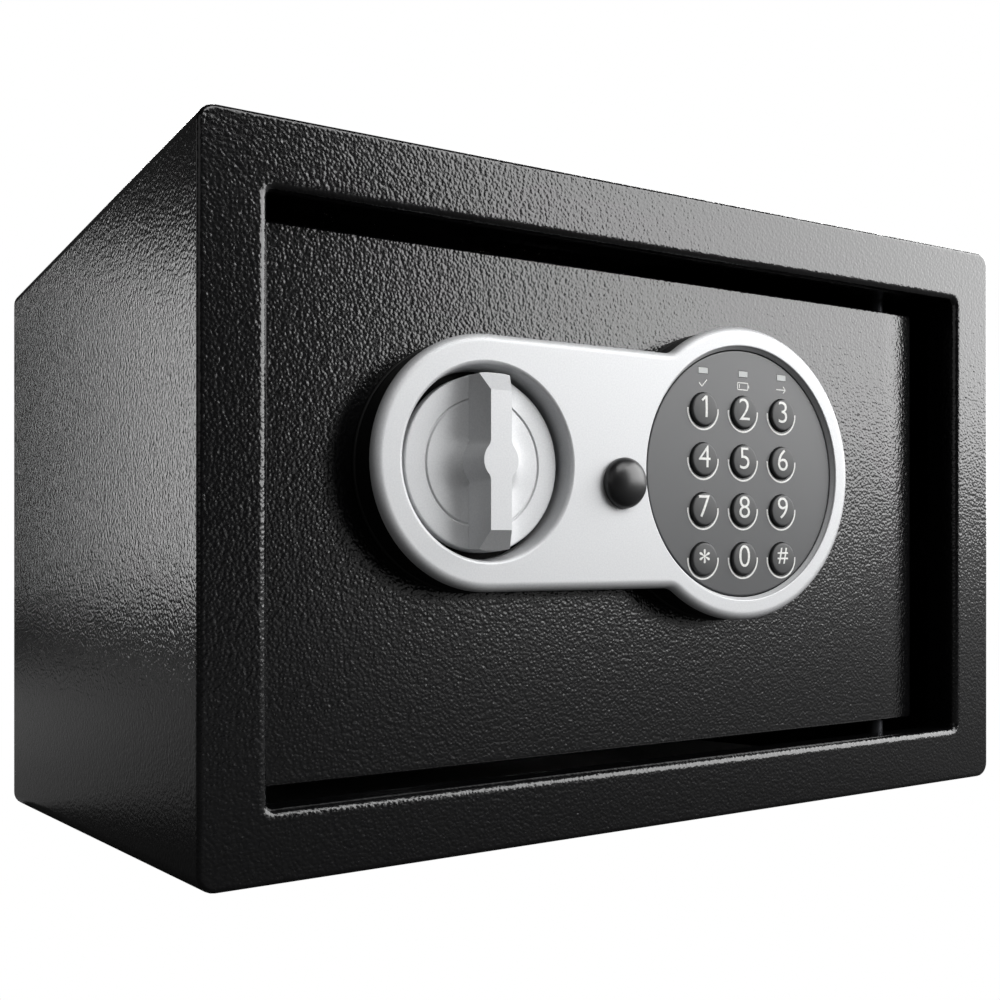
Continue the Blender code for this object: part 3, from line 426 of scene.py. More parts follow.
def printed_ink():
    """Screen-printed epoxy ink: opaque off-white, matt, with slight mottling of its cover."""
    made, tree, surface = material("screen-printed white ink", "#e0e0dd", 0.5)
    mottle = 0.4 * MM
    cover = add(tree, "ShaderNodeTexNoise",
                {"Vector": place_of(tree), "Scale": 0.5 / mottle, "Detail": 1.0})
    tree.links.new(ramp(tree, cover.outputs["Fac"], colour("#d6d6d3"), colour("#e9e9e6"), 0.3, 0.7),
                   surface.inputs["Base Color"])
    return made


def make_looks():
    """One finish for each material slot of the record, and the printed ink."""
    return {
        "powder_coat": powder_coat(),
        "silver_plastic": silver_paint(),
        # ABS from a spark-eroded tool: the grain keeps the black tray dull
        "black_plastic": moulded("black ABS, spark-eroded grain", "#131314", 0.5, 0.3 * MM, 0.02 * MM),
        # The tray behind the trim: matt, so that it reads as a black line under the silver
        "tray": moulded("matt black ABS", "#060606", 0.6, 0.3 * MM, 0.02 * MM, Specular_IOR_Level=0.2),
        # A satin overlay: even dark grey with a grain too fine to see as texture
        "grey_panel": moulded("grey polycarbonate overlay", "#37383a", 0.38, 0.15 * MM, 0.004 * MM),
        # Dark grey silicone caps: satin, so that they sit close to the overlay's tone
        "key_cap": moulded("dark grey silicone rubber", "#2b2c2d", 0.5, 0.3 * MM, 0.004 * MM),
        # Moulded silicone: a smooth black dome that catches one soft light
        "key_rubber": moulded("moulded silicone rubber", "#1b1b1c", 0.3, 0.4 * MM, 0.004 * MM),
        # Acrylic with a frosted face: glows pale even when unlit
        "light_guide": moulded("frosted acrylic", "#a6a9a8", 0.35, 0.2 * MM, 0.005 * MM),
        "circuit_board": circuit_board(),
        "zinc_steel": zinc_plate(),
        # Zinc plate painted dark grey as painted shade for the pins that sit in the door's gap, with only a
        # soft glint
        "zinc_darkened_as_shade": turned_metal("zinc plate on turned steel, darkened as painted shade", "#3c3d40", 0.5, 0.4 * MM, "Z"),
        # Turned bar, hard chromed: mirror bright with faint rings
        "bolt_chrome": turned_metal("hard chrome on turned bar", "#d3d5d8", 0.12, 0.3 * MM, "X"),
        "copper_winding": copper_winding(),
        # Free-cutting brass from the lathe: warm and bright, with facing marks
        "lock_brass": turned_metal("turned brass", "#c9a45a", 0.22, 0.25 * MM, "Y"),
        # PVC sleeve over the wires: black with a soft shine
        "wire_sleeve": moulded("extruded PVC sleeve", "#141415", 0.4, 0.5 * MM, 0.02 * MM),
        "battery_jacket": battery_jacket(),
        # Polished tool: an even glossy red cap
        "red_plastic": moulded("glossy red ABS", "#b01a18", 0.18, 0.5 * MM, 0.002 * MM, spread=0.03),
        "black_felt": felt(),
        "ink": printed_ink(),
    }


def coat_cad_nodes(looks):
    """Every CAD node that stays in sight takes the finish of its slot."""
    for part in frame["record"]["subparts"]:
        node = frame["nodes"][part["node"]]
        node.data.materials.clear()
        node.data.materials.append(looks[part["material_slot"]])


# ---------------------------------------------------------------- cabinet

CORNER = 5 * MM                     # bend radius of the wrap
FRONT_EDGE = 1.3 * MM               # paint-softened edge between the front and the sides
OPENING_W, OPENING_H = 272 * MM, 161 * MM
LIP_BEND = 2.5 * MM
LIP_DEPTH = depth_of("front_frame")[1]
ANCHOR_HOLE = 5 * MM                # radius


def frame_outline(inset=0.0):
    low = (WRAP_LOW.x + inset, inset)
    high = (WRAP_HIGH.x - inset, HEIGHT - inset)
    return rounded(low, high, CORNER - inset)


def opening_outline(outset=0.0):
    x, z = OPENING_W / 2 + outset, OPENING_H / 2 + outset
    return rounded((-x, HEIGHT / 2 - z), (x, HEIGHT / 2 + z), 2 * MM + outset)


def quarter(radius, start, end, steps=6):
    """(inset, rise) pairs round a quarter bend; 0 degrees is on the side and 90 on the face."""
    turn = [math.radians(start + (end - start) * i / steps) for i in range(steps + 1)]
    return [(radius * (1 - math.cos(t)), radius * (1 - math.sin(t))) for t in turn]


def make_cabinet_shell(looks):
    """Wrap and front as one painted skin, turned into a deep lip around the opening."""
    hold = 0.4 * MM
    sections = [(frame_outline(), FRONT_EDGE + hold)]
    sections += rim(quarter(FRONT_EDGE, 0, 90), frame_outline)
    sections.append((frame_outline(FRONT_EDGE + hold), 0))
    sections.append((opening_outline(LIP_BEND + hold), 0))
    sections += rim(quarter(LIP_BEND, 90, 0, 8), opening_outline)
    sections.append((opening_outline(), LIP_BEND + hold))
    fold = SHEET / 2
    end = [(fold - fold * math.cos(t), LIP_DEPTH - fold + fold * math.sin(t))
           for t in (math.pi * i / 6 for i in range(7))]
    sections += rim(end, opening_outline)
    sections.append((opening_outline(SHEET), LIP_BEND))
    sections.append((opening_outline(LIP_BEND), SHEET))
    sections.append((frame_outline(SHEET + MM), SHEET))
    sections.append((frame_outline(SHEET), SHEET + MM))
    back = 0.35 * MM
    sections.append((frame_outline(SHEET), DEPTH - back))
    sections.append((frame_outline(SHEET - back), DEPTH))
    sections.append((frame_outline(back), DEPTH))
    sections.append((frame_outline(), DEPTH - back))
    shell = draft(loft(sections, closed=True), "cabinet_shell")
    anchor_x = 90 * MM
    for side in (-1, 1):
        place = Vector((side * anchor_x, 20 * MM, 0))
        carve(shell, rod(ANCHOR_HOLE, -5 * MM, 5 * MM, place, "up"))
    finish(shell, looks["powder_coat"], "cabinet", ["cabinet_wrap", "front_frame"])


def make_back(looks):
    """The back panel, set into the wrap, with its two anchor holes."""
    low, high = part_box("back_panel")
    front, back = depth_of("back_panel")
    edge = 0.4 * MM
    outline = box_outline(low, high, 3.5 * MM)
    panel = draft(loft(rim([(0, front), (0, back - edge), (0.3 * edge, back - 0.3 * edge), (edge, back),
                            (2 * edge, back)], outline)), "back_wall")
    anchor_x = 90 * MM
    for side in (-1, 1):
        carve(panel, rod(ANCHOR_HOLE, -8 * MM, 5 * MM, at(side * anchor_x, DEPTH, HEIGHT / 2)))
    finish(panel, looks["powder_coat"], "cabinet", ["back_panel"])


def make_mat(looks):
    """The felt mat on the floor: one cut sheet, its edges a little rounded and its face uneven."""
    low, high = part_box("floor_mat")
    thick = 1.8 * MM
    front, back = low.y - FRONT, high.y - FRONT
    cells = 40
    bm = bmesh.new()
    bmesh.ops.create_grid(bm, x_segments=cells, y_segments=cells, size=0.5)
    bmesh.ops.scale(bm, verts=bm.verts, vec=(high.x - low.x, back - front, 1))
    bmesh.ops.translate(bm, verts=bm.verts, vec=((low.x + high.x) / 2, (low.y + high.y) / 2, low.z))
    for vert in bm.verts:
        x, y = vert.co.x / (40 * MM), vert.co.y / (33 * MM)
        vert.co.z += thick + 0.12 * MM * math.sin(x * 1.7 + 0.4) * math.cos(y * 1.3)
    made = bmesh.ops.extrude_face_region(bm, geom=bm.faces[:])["geom"]
    under = [v for v in made if isinstance(v, bmesh.types.BMVert)]
    for vert in under:
        vert.co.z = low.z + 0.05 * MM
    mat = draft(bm, "felt_mat")
    soften(mat, 0.5 * MM, 2, 60)
    finish(mat, looks["black_felt"], "cabinet", ["floor_mat"])


HINGE_X, HINGE_DEPTH, PIN_RADIUS = 112 * MM, 18 * MM, 3 * MM


def make_hinges(looks):
    """Bracket plates behind the lip and the turned pins that hang the door in them."""
    for name, side in (("lower", -1), ("upper", 1)):
        low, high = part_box("hinge_bracket_" + name)
        plate = draft(slab(rounded((low.x, low.z), (high.x, high.z), 0.2 * MM, 1),
                           low.y - FRONT, high.y - FRONT), "bracket_" + name)
        hole = rod(PIN_RADIUS + 0.3 * MM, low.z - MM, high.z + MM, at(HINGE_X, HINGE_DEPTH, 0), "up")
        carve(plate, hole)
        finish(plate, looks["powder_coat"], "cabinet", ["hinge_bracket_" + name])

        low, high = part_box("hinge_pin_" + name)
        block = 13.5 * MM
        z = (low.z, low.z + block) if side > 0 else (high.z - block, high.z)
        pin = draft(slab(rounded((low.x, z[0]), (high.x, z[1]), 0.8 * MM, 3),
                         low.y - FRONT, high.y - FRONT), "pin_" + name)
        root, tip = (z[1] - MM, high.z) if side > 0 else (z[0] + MM, low.z)
        step = 0.8 * MM * side
        profile = [(0, root), (PIN_RADIUS, root), (PIN_RADIUS, tip - step)]
        profile += [(PIN_RADIUS - 0.8 * MM, tip), (0, tip)]
        join(pin, turned(profile, at(HINGE_X, HINGE_DEPTH, 0), "up"))
        soften(pin, 0.3 * MM, 2, 50)
        # the pins' dark grey zinc is painted shade of the door's gap
        finish(pin, looks["zinc_darkened_as_shade"], "door", ["hinge_pin_" + name])


# ---------------------------------------------------------------- door and inner cover

def screw_places():
    """Centres (x, z) of the four screws that hold the cover."""
    return [(middle(f"cover_screw_{i}").x, middle(f"cover_screw_{i}").z) for i in range(1, 5)]


ROLL, ROLL_FALL = 18 * MM, 1.5 * MM       # reach and fall of the door's rolled hinge edge


def roll_hinge_edge(door, face, back, right):
    """Let the front of the door fall back gently towards its hinge edge, so that the sheen fades."""
    bm = bmesh.new()
    bm.from_mesh(door.data)
    for step in range(8):
        everything = bm.verts[:] + bm.edges[:] + bm.faces[:]
        cut = Vector((right - ROLL * (1 - step / 9), 0, 0))
        bmesh.ops.bisect_plane(bm, geom=everything, plane_co=cut, plane_no=(1, 0, 0))
    for vert in bm.verts:
        reach, depth = vert.co.x - right + ROLL, vert.co.y - FRONT
        if reach > 0 and depth < back:
            vert.co.y += ROLL_FALL * (reach / ROLL) ** 2 * (back - depth) / (back - face)
    bm.to_mesh(door.data)
    bm.free()


def make_door(looks):
    low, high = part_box("door_plate")
    face, back = low.y - FRONT, 13 * MM
    edge, hold = 0.9 * MM, 0.4 * MM
    outline = box_outline(low, high, 1.5 * MM, 0.25 * MM)
    profile = [(edge + hold, back), (0.5 * MM, back), (0, back - 0.5 * MM), (0, face + edge + hold)]
    profile += [(inset, face + rise) for inset, rise in quarter(edge, 0, 90)]
    profile.append((edge + hold, face))
    door = draft(loft(rim(profile, outline)), "door_panel")
    reach = high.y - FRONT
    for x, z in screw_places():
        stub = [(0, back - MM), (3.5 * MM, back - MM), (3.5 * MM, reach - 0.4 * MM), (3.1 * MM, reach)]
        stub += [(1.8 * MM, reach), (1.8 * MM, back + 6 * MM), (0, back + 6 * MM)]
        join(door, turned(stub, at(x, 0, z), segments=32))
    for centre, radius in ((KNOB, 6 * MM), (LOCK, 8.6 * MM), (Vector((6 * MM, 0, KEYPAD.z)), 5 * MM)):
        carve(door, rod(radius, face - MM, back + MM, at(centre.x, 0, centre.z)))
    roll_hinge_edge(door, face, back, high.x)
    finish(door, looks["powder_coat"], "door", ["door_plate"])


def make_inner_cover(looks):
    """The pressed pan over the bolt work, its edges bent to a real radius."""
    low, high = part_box("inner_cover")
    front, back = low.y - FRONT, high.y - FRONT
    bend, hold = 2.4 * MM, 0.5 * MM
    outline = box_outline(low, high, 4 * MM, 1.2 * MM, 8)
    inner = bend - COVER_SHEET
    profile = [(bend + hold, back - COVER_SHEET)]
    profile += [(COVER_SHEET + inset, back - COVER_SHEET - rise) for inset, rise in quarter(inner, 90, 0)]
    profile += [(COVER_SHEET, front), (0.6 * MM, front), (0, front + 0.4 * MM)]
    profile += [(0, back - bend - hold)]
    profile += [(inset, back - rise) for inset, rise in quarter(bend, 0, 90)]
    profile += [(bend + hold, back)]
    pan = draft(loft(rim(profile, outline)), "cover_pan")
    for bolt in ("lower", "upper"):
        place = at(low.x, 24 * MM, middle("bolt_" + bolt).z)
        carve(pan, rod(8.6 * MM, -6 * MM, 6 * MM, place, "right"))
    for x, z in screw_places():
        carve(pan, rod(2.1 * MM, back - 3 * MM, back + MM, at(x, 0, z), segments=32))
    lid_low, lid_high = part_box("battery_lid")
    gap = 0.4 * MM
    hatch = rounded((lid_low.x - gap, lid_low.z - gap), (lid_high.x + gap, lid_high.z + gap), 3 * MM)
    carve(pan, slab(hatch, back - 3 * MM, back + MM))
    reset = middle("reset_button")
    carve(pan, rod(3.3 * MM, back - 3 * MM, back + MM, at(reset.x, 0, reset.z), segments=32))
    finish(pan, looks["powder_coat"], "door", ["inner_cover"])


def make_cover_screws(looks):
    """Pan-head screws with a crossed recess."""
    head = 3.4 * MM
    for index, (x, z) in enumerate(screw_places(), 1):
        seat = depth_of("inner_cover")[1] + SEAM
        top = depth_of(f"cover_screw_{index}")[1]
        profile = [(0, seat - 8 * MM), (1.5 * MM, seat - 8 * MM), (1.5 * MM, seat), (head, seat)]
        profile.append((head, seat + 0.7 * MM))
        dome = arc((head - 1.3 * MM, seat + 0.7 * MM), 1.3 * MM, 0, 75, 5)[1:]
        profile += dome + [(1.0 * MM, top), (0, top)]
        screw = draft(turned(profile, at(x, 0, z), segments=40), f"screw_{index}")
        for half_x, half_z in ((0.4 * MM, 2 * MM), (2 * MM, 0.4 * MM)):
            cross = rounded((x - half_x, z - half_z), (x + half_x, z + half_z), 0.2 * MM, 2)
            carve(screw, slab(cross, seat + 0.8 * MM, top + MM))
        finish(screw, looks["zinc_steel"], "door", [f"cover_screw_{index}"])


def make_battery_lid(looks):
    """The hatch over the cells with three ribs for the finger."""
    low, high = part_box("battery_lid")
    front = low.y - FRONT
    face = depth_of("inner_cover")[1]
    edge = 0.5 * MM
    outline = box_outline(low, high, 3 * MM)
    profile = [(0, front), (0, face - edge)]
    profile += [(inset, face - rise) for inset, rise in quarter(edge, 0, 90, 4)][1:]
    profile.append((2 * edge, face))
    lid = draft(loft(rim(profile, outline)), "hatch_lid")
    centre = middle("battery_lid")
    for step in range(3):
        z = centre.z + (24 - 3 * step) * MM
        rib = rounded((centre.x - 9 * MM, z - 0.7 * MM), (centre.x + 9 * MM, z + 0.7 * MM), 0.6 * MM, 4)
        join(lid, slab(rib, face - 0.5 * MM, high.y - FRONT))
    soften(lid, 0.2 * MM, 2, 50)
    finish(lid, looks["black_plastic"], "battery_hatch", ["battery_lid"])


def make_reset_button(looks):
    """A small cap with a shallow dish for the fingertip."""
    centre = middle("reset_button")
    start, top = depth_of("reset_button")
    flange = start + 1.9 * MM
    profile = [(0, start), (4.4 * MM, start), (4.4 * MM, flange), (3 * MM, flange)]
    profile.append((3 * MM, top - 0.5 * MM))
    profile += arc((2.5 * MM, top - 0.5 * MM), 0.5 * MM, 0, 90, 4)[1:]
    profile += [(1.4 * MM, top - 0.2 * MM), (0, top - 0.3 * MM)]
    button = draft(turned(profile, at(centre.x, 0, centre.z), segments=48), "reset_cap_face")
    finish(button, looks["red_plastic"], "reset_cap", ["reset_button"])


def make_bolts(looks):
    """Two turned bolts with a chamfered tip and a slot for the carriage."""
    carriage = depth_of("bolt_carriage")
    for name in ("lower", "upper"):
        low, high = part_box("bolt_" + name)
        radius = (high.z - low.z) / 2
        centre = middle("bolt_" + name)
        chamfer = 1.2 * MM
        profile = [(0, low.x), (radius - chamfer - 0.4 * MM, low.x), (radius - chamfer, low.x + 0.1 * MM)]
        profile += [(radius - 0.1 * MM, low.x + chamfer), (radius, low.x + chamfer + 0.3 * MM)]
        profile += [(radius, high.x - 0.3 * MM), (radius - 0.3 * MM, high.x), (0, high.x)]
        bolt = draft(turned(profile, Vector((0, centre.y, centre.z)), "right", 72), "bolt_bar_" + name)
        slot = rounded((-104.3 * MM, centre.z - 12 * MM), (high.x + MM, centre.z + 12 * MM), 0.2 * MM, 1)
        carve(bolt, slab(slot, carriage[0] - 0.2 * MM, carriage[1] + 0.2 * MM))
        finish(bolt, looks["bolt_chrome"], "bolt_work", ["bolt_" + name])


# ---------------------------------------------------------------- front trim

TRIM_FILLET = 6 * MM                # round inside corner where the waist meets the keypad's ring
TRIM_WALL = 2 * MM


def trim_outline(inset=0.0):
    """A round end for the knob, a straight waist and a larger round end for the keypad."""
    small, large = TRIM_END_RADIUS - inset, TRIM_PAD_RADIUS - inset
    fillet = TRIM_FILLET + inset
    rise = small + fillet
    reach = math.sqrt((large + fillet) ** 2 - rise ** 2)
    angle = math.degrees(math.asin(rise / (large + fillet)))
    knob, pad = (KNOB.x, KNOB.z), (KEYPAD.x, KEYPAD.z)
    points = arc(knob, small, 90, 270, 48)
    points += arc((pad[0] - reach, pad[1] - rise), fillet, 90, angle, 10)
    points += arc(pad, large, 180 + angle, 540 - angle, 80)
    points += arc((pad[0] - reach, pad[1] + rise), fillet, -angle, -90, 10)
    return points


def make_trim_tray(looks):
    """The black tray that the silver trim sits on."""
    front, back = depth_of("trim_base")
    step, edge, foot = 0.6 * MM, 0.3 * MM, 1.1 * MM
    profile = [(step + TRIM_WALL, back - 1.6 * MM), (step + TRIM_WALL, front), (step + edge, front)]
    profile += [(step + 0.3 * edge, front + 0.3 * edge), (step, front + edge)]
    profile.append((step, back - foot - 0.5 * MM))
    profile += [(step - 0.1 * MM, back - foot - 0.1 * MM), (step - 0.4 * MM, back - foot)]
    profile += [(step - 0.6 * MM, back - foot + 0.2 * MM), (step - 0.6 * MM, back)]
    tray = draft(loft(rim(profile, trim_outline)), "trim_tray")
    for centre, radius in ((KNOB, 6 * MM), (LOCK, 8.6 * MM), (Vector((6 * MM, 0, KEYPAD.z)), 5 * MM)):
        carve(tray, rod(radius, 5 * MM, back + MM, at(centre.x, 0, centre.z)))
    finish(tray, looks["tray"], "door", ["trim_base"])


WELL_RADIUS = 27.4 * MM             # knob well at its foot
WELL_RIM = 28.9 * MM                # and where it opens into the face
WELL_FOOT, WELL_BACK = 2.5 * MM, 7 * MM
PAD_FACE = depth_of("keypad_panel")[0]
PAD_RADIUS = (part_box("keypad_panel")[1].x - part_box("keypad_panel")[0].x) / 2
KNOB_RADIUS = (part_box("knob")[1].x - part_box("knob")[0].x) / 2
KNOB_FACE = 1.5 * MM


def make_trim(looks):
    """The silver trim: rounded outer edge, deep knob well and a raised ring around the keypad."""
    back = depth_of("trim_base")[0] - SEAM
    edge, hold = 2.6 * MM, 0.3 * MM
    profile = [(TRIM_WALL, TRIM_FACE + TRIM_WALL), (TRIM_WALL, back)]
    profile += [(0.1 * MM, back), (0, back - 0.1 * MM)]
    profile += [(0, TRIM_FACE + edge + 0.1 * MM)]
    profile += [(inset, TRIM_FACE + rise) for inset, rise in quarter(edge, 0, 90, 12)]
    profile += [(edge + hold, TRIM_FACE)]
    trim = draft(loft(rim(profile, trim_outline)), "silver_trim")

    knob_axis = at(KNOB.x, 0, KNOB.z)
    outside = WELL_RIM + 1.5 * MM
    collar = [(WELL_RADIUS, TRIM_FACE + MM), (outside, TRIM_FACE + MM), (outside, WELL_BACK)]
    collar += [(WELL_RADIUS, WELL_BACK)]
    join(trim, turned(collar, knob_axis, segments=96))
    lead = 1.2 * MM
    well = [(0, WELL_BACK + MM), (WELL_RADIUS, WELL_BACK + MM), (WELL_RADIUS, WELL_FOOT + 0.6 * MM)]
    well += [(WELL_RADIUS + 0.1 * MM, WELL_FOOT)]
    well += arc((WELL_RIM + lead - 0.8 * MM, TRIM_FACE + lead), lead, 190, 262, 6)
    well += [(WELL_RIM + MM, TRIM_FACE - 0.5 * MM), (0, TRIM_FACE - 0.5 * MM)]
    carve(trim, turned(well, knob_axis, segments=96))

    ring = 0.5 * MM
    recess = [(0, MM), (PAD_RADIUS + 0.35 * MM, MM), (PAD_RADIUS + 0.35 * MM, PAD_FACE)]
    recess += [(PAD_RADIUS + 1.2 * MM, TRIM_FACE + ring)]
    recess += arc((PAD_RADIUS + 1.2 * MM + ring, TRIM_FACE + ring), ring, 200, 262, 4)
    recess += [(PAD_RADIUS + 2 * MM, TRIM_FACE - 0.5 * MM), (0, TRIM_FACE - 0.5 * MM)]
    carve(trim, turned(recess, at(KEYPAD.x, 0, KEYPAD.z), segments=128))
    carve(trim, rod(5.4 * MM, TRIM_FACE - MM, MM, at(LOCK.x, 0, LOCK.z)))
    finish(trim, looks["silver_plastic"], "door", ["trim"], sharp=25)


# ---------------------------------------------------------------- keypad

KEY_RADIUS = 5.3 * MM
ARC_RADIUS, ARC_WIDTH = 6.35 * MM, 0.55 * MM
INK = 0.05 * MM                     # thickness of printed ink


def make_keypad_panel(looks):
    axis = at(KEYPAD.x, 0, KEYPAD.z)
    edge = 0.3 * MM
    back = depth_of("keypad_panel")[1]
    profile = [(0, PAD_FACE), (PAD_RADIUS - 2 * edge, PAD_FACE), (PAD_RADIUS - edge, PAD_FACE)]
    profile += [(PAD_RADIUS - 0.3 * edge, PAD_FACE + 0.3 * edge), (PAD_RADIUS, PAD_FACE + edge)]
    profile += [(PAD_RADIUS, back), (0, back)]
    panel = draft(turned(profile, axis, segments=128), "keypad_face")
    for name in KEY_NAMES:
        place = middle("key_" + name)
        carve(panel, rod(KEY_RADIUS + 0.3 * MM, PAD_FACE - MM, back + MM, at(place.x, 0, place.z)))
    pitch = middle("key_2").x - middle("key_1").x
    z = middle("light_guide").z
    for column in (-1, 0, 1):
        x = KEYPAD.x + column * pitch
        window = rounded((x - 2.1 * MM, z - 1.1 * MM), (x + 2.1 * MM, z + 1.1 * MM), 0.25 * MM, 3)
        carve(panel, slab(window, PAD_FACE - MM, back + MM))
    finish(panel, looks["grey_panel"], "door", ["keypad_panel"])


CROWN_RADIUS, CROWN_RISE = 4.5 * MM, 0.18 * MM


def crown(radius, top):
    """Depth of a key's domed top at a distance from its middle."""
    return top + CROWN_RISE * (radius / CROWN_RADIUS) ** 2


def make_keys(looks):
    """Twelve caps, and the digit that is printed on each."""
    for name in KEY_NAMES:
        centre = middle("key_" + name)
        top, flange_back = depth_of("key_" + name)
        flange = flange_back - 0.8 * MM
        profile = [(r, crown(r, top)) for r in (i * CROWN_RADIUS / 5 for i in range(6))]
        edge = 0.6 * MM
        shoulder = profile[-1][1] + 0.5 * MM
        profile += arc((KEY_RADIUS - edge, shoulder + 0.1 * MM), edge, -70, 0, 5)
        profile += [(KEY_RADIUS, flange), (KEY_RADIUS + 0.9 * MM, flange)]
        profile += [(KEY_RADIUS + 0.9 * MM, flange_back), (0, flange_back)]
        cap = draft(turned(profile, at(centre.x, 0, centre.z), segments=64), "cap_" + name)
        finish(cap, looks["key_cap"], "key_cap_" + name, ["key_" + name])
        make_digit(name, centre, top, looks)


def make_digit(name, centre, top, looks):
    """A sans digit, its ink following the key's dome."""
    size = {"star": 9.8, "hash": 7.6}.get(name, 10.4) * MM
    lift_z = 0.9 * MM
    text = bpy.data.curves.new("digit", "FONT")
    text.body = KEY_SIGNS[name]
    text.size = size
    text.align_x = "CENTER"
    text.align_y = "CENTER"
    text.extrude = INK
    text.offset = {"star": 0.07, "hash": 0.02}.get(name, -0.08) * MM
    holder = bpy.data.objects.new("digit", text)
    bpy.context.scene.collection.objects.link(holder)
    bpy.context.view_layer.update()
    mesh = bpy.data.meshes.new_from_object(holder.evaluated_get(bpy.context.evaluated_depsgraph_get()))
    bpy.data.objects.remove(holder)
    bm = bmesh.new()
    bm.from_mesh(mesh)
    if name == "1":
        right, top_edge = max(v.co.x for v in bm.verts), max(v.co.y for v in bm.verts)
        flag = Matrix.Translation((right - 1.35 * MM, top_edge - 0.95 * MM, 0))
        stretch = Matrix.Diagonal((2.1 * MM, 0.7 * MM, 2.2 * INK, 1))
        bmesh.ops.create_cube(bm, size=1, matrix=flag @ Matrix.Rotation(0.7, 4, "Z") @ stretch)
    for axis in (Vector((1, 0, 0)), Vector((0, 1, 0))):
        for step in range(-6, 7):
            everything = bm.verts[:] + bm.edges[:] + bm.faces[:]
            bmesh.ops.bisect_plane(bm, geom=everything, plane_co=axis * step * 0.6 * MM, plane_no=axis)
    xs, zs = [v.co.x for v in bm.verts], [v.co.y for v in bm.verts]
    shift = Vector(((min(xs) + max(xs)) / 2, (min(zs) + max(zs)) / 2, 0))
    for vert in bm.verts:
        x, z, lift = (vert.co.x - shift.x) * 1.05 - 0.4 * MM, vert.co.y - shift.y + lift_z, vert.co.z
        vert.co = at(centre.x + x, crown(math.hypot(x, z), top) - lift, centre.z + z)
    digit = draft(bm, "digit_" + name)
    finish(digit, looks["ink"], "key_cap_" + name)


def bar(start, end, width, front, back):
    """A straight printed stroke between two points (x, z), with square ends."""
    along = (Vector(end) - Vector(start)).normalized()
    side = Vector((-along.y, along.x)) * width / 2
    corners = [Vector(start) - side, Vector(end) - side, Vector(end) + side, Vector(start) + side]
    return slab([tuple(corner) for corner in corners], front, back)


def make_print(looks):
    """Printed on the overlay: a half ring under each key and a sign under each light."""
    front, back = PAD_FACE - INK, PAD_FACE + INK
    rings = bmesh.new()
    for name in KEY_NAMES:
        centre = middle("key_" + name)
        low, high = ARC_RADIUS - ARC_WIDTH / 2, ARC_RADIUS + ARC_WIDTH / 2
        place = (centre.x, centre.z)
        outline = arc(place, high, 176, 364, 40) + arc(place, low, 364, 176, 40)
        add_shape(rings, slab(outline, front, back))
    finish(draft(rings, "printed_rings"), looks["ink"], "door")

    signs = bmesh.new()
    pitch = middle("key_2").x - middle("key_1").x
    z = middle("light_guide").z - 4.0 * MM
    line, scale = 0.3 * MM, 1.25 * MM
    left, centre, right = KEYPAD.x - pitch, KEYPAD.x, KEYPAD.x + pitch
    tick = [(-1.3, 0.0), (-0.4, -0.9), (1.3, 0.9)]
    case = [(-1.9, -0.9), (1.7, -0.9), (1.7, 0.9), (-1.9, 0.9), (-1.9, -0.9)]
    stub = [(2.0, -0.4), (2.0, 0.4)]
    charge = [(-1.3, -0.5), (-1.3, 0.5)]
    shaft = [(-1.8, 0.0), (1.6, 0.0)]
    head = [(0.7, 0.9), (1.6, 0.0), (0.7, -0.9)]
    for x, lines in ((left, (tick,)), (centre, (case, stub, charge)), (right, (shaft, head))):
        for points in lines:
            for start, end in zip(points, points[1:]):
                a = (x + start[0] * scale, z + start[1] * scale)
                b = (x + end[0] * scale, z + end[1] * scale)
                add_shape(signs, bar(a, b, line, front, back))
    finish(draft(signs, "printed_signs"), looks["ink"], "door")


def add_shape(bm, other):
    """Add another bmesh's shape to this one."""
    mesh = bpy.data.meshes.new("part")
    other.to_mesh(mesh)
    other.free()
    bm.from_mesh(mesh)
    bpy.data.meshes.remove(mesh)


# ---------------------------------------------------------------- knob and lock plug

def grip_outline(half_width, half_length, bulge, fillet=3 * MM):
    """A bar with a round swelling in the middle, blended into its sides."""
    bulge = max(bulge, half_width + 0.05 * MM)
    side_x = half_width + fillet
    side_z = math.sqrt((bulge + fillet) ** 2 - side_x ** 2)
    lean = math.degrees(math.atan2(side_z, side_x))
    right = [(half_width, -half_length)]
    right += arc((side_x, -side_z), fillet, 180, 180 - lean, 6)
    right += arc((0, 0), bulge, -lean, lean, 14)[1:-1]
    right += arc((side_x, side_z), fillet, 180 + lean, 180, 6)
    right += [(half_width, half_length)]
    left = [(-x, -z) for x, z in right]
    return [(KNOB.x + x, KNOB.z + z) for x, z in right + left]


CREASE = (-1.6 * MM, 6.5 * MM, 8.4 * MM)    # where the grip leaves the face: depth, half width, bulge


def flare(x, z):
    """How far the disc's face rises towards the grip at a distance (x, z) from the knob's centre."""
    depth, half_width, bulge = CREASE
    round_part = math.sqrt(max(0.0, bulge ** 2 - z ** 2))
    crease = (half_width ** 8 + round_part ** 8) ** (1 / 8)
    beyond = max(0.0, abs(x) - crease)
    return (KNOB_FACE - depth) * math.exp(-beyond / (1.9 * MM))


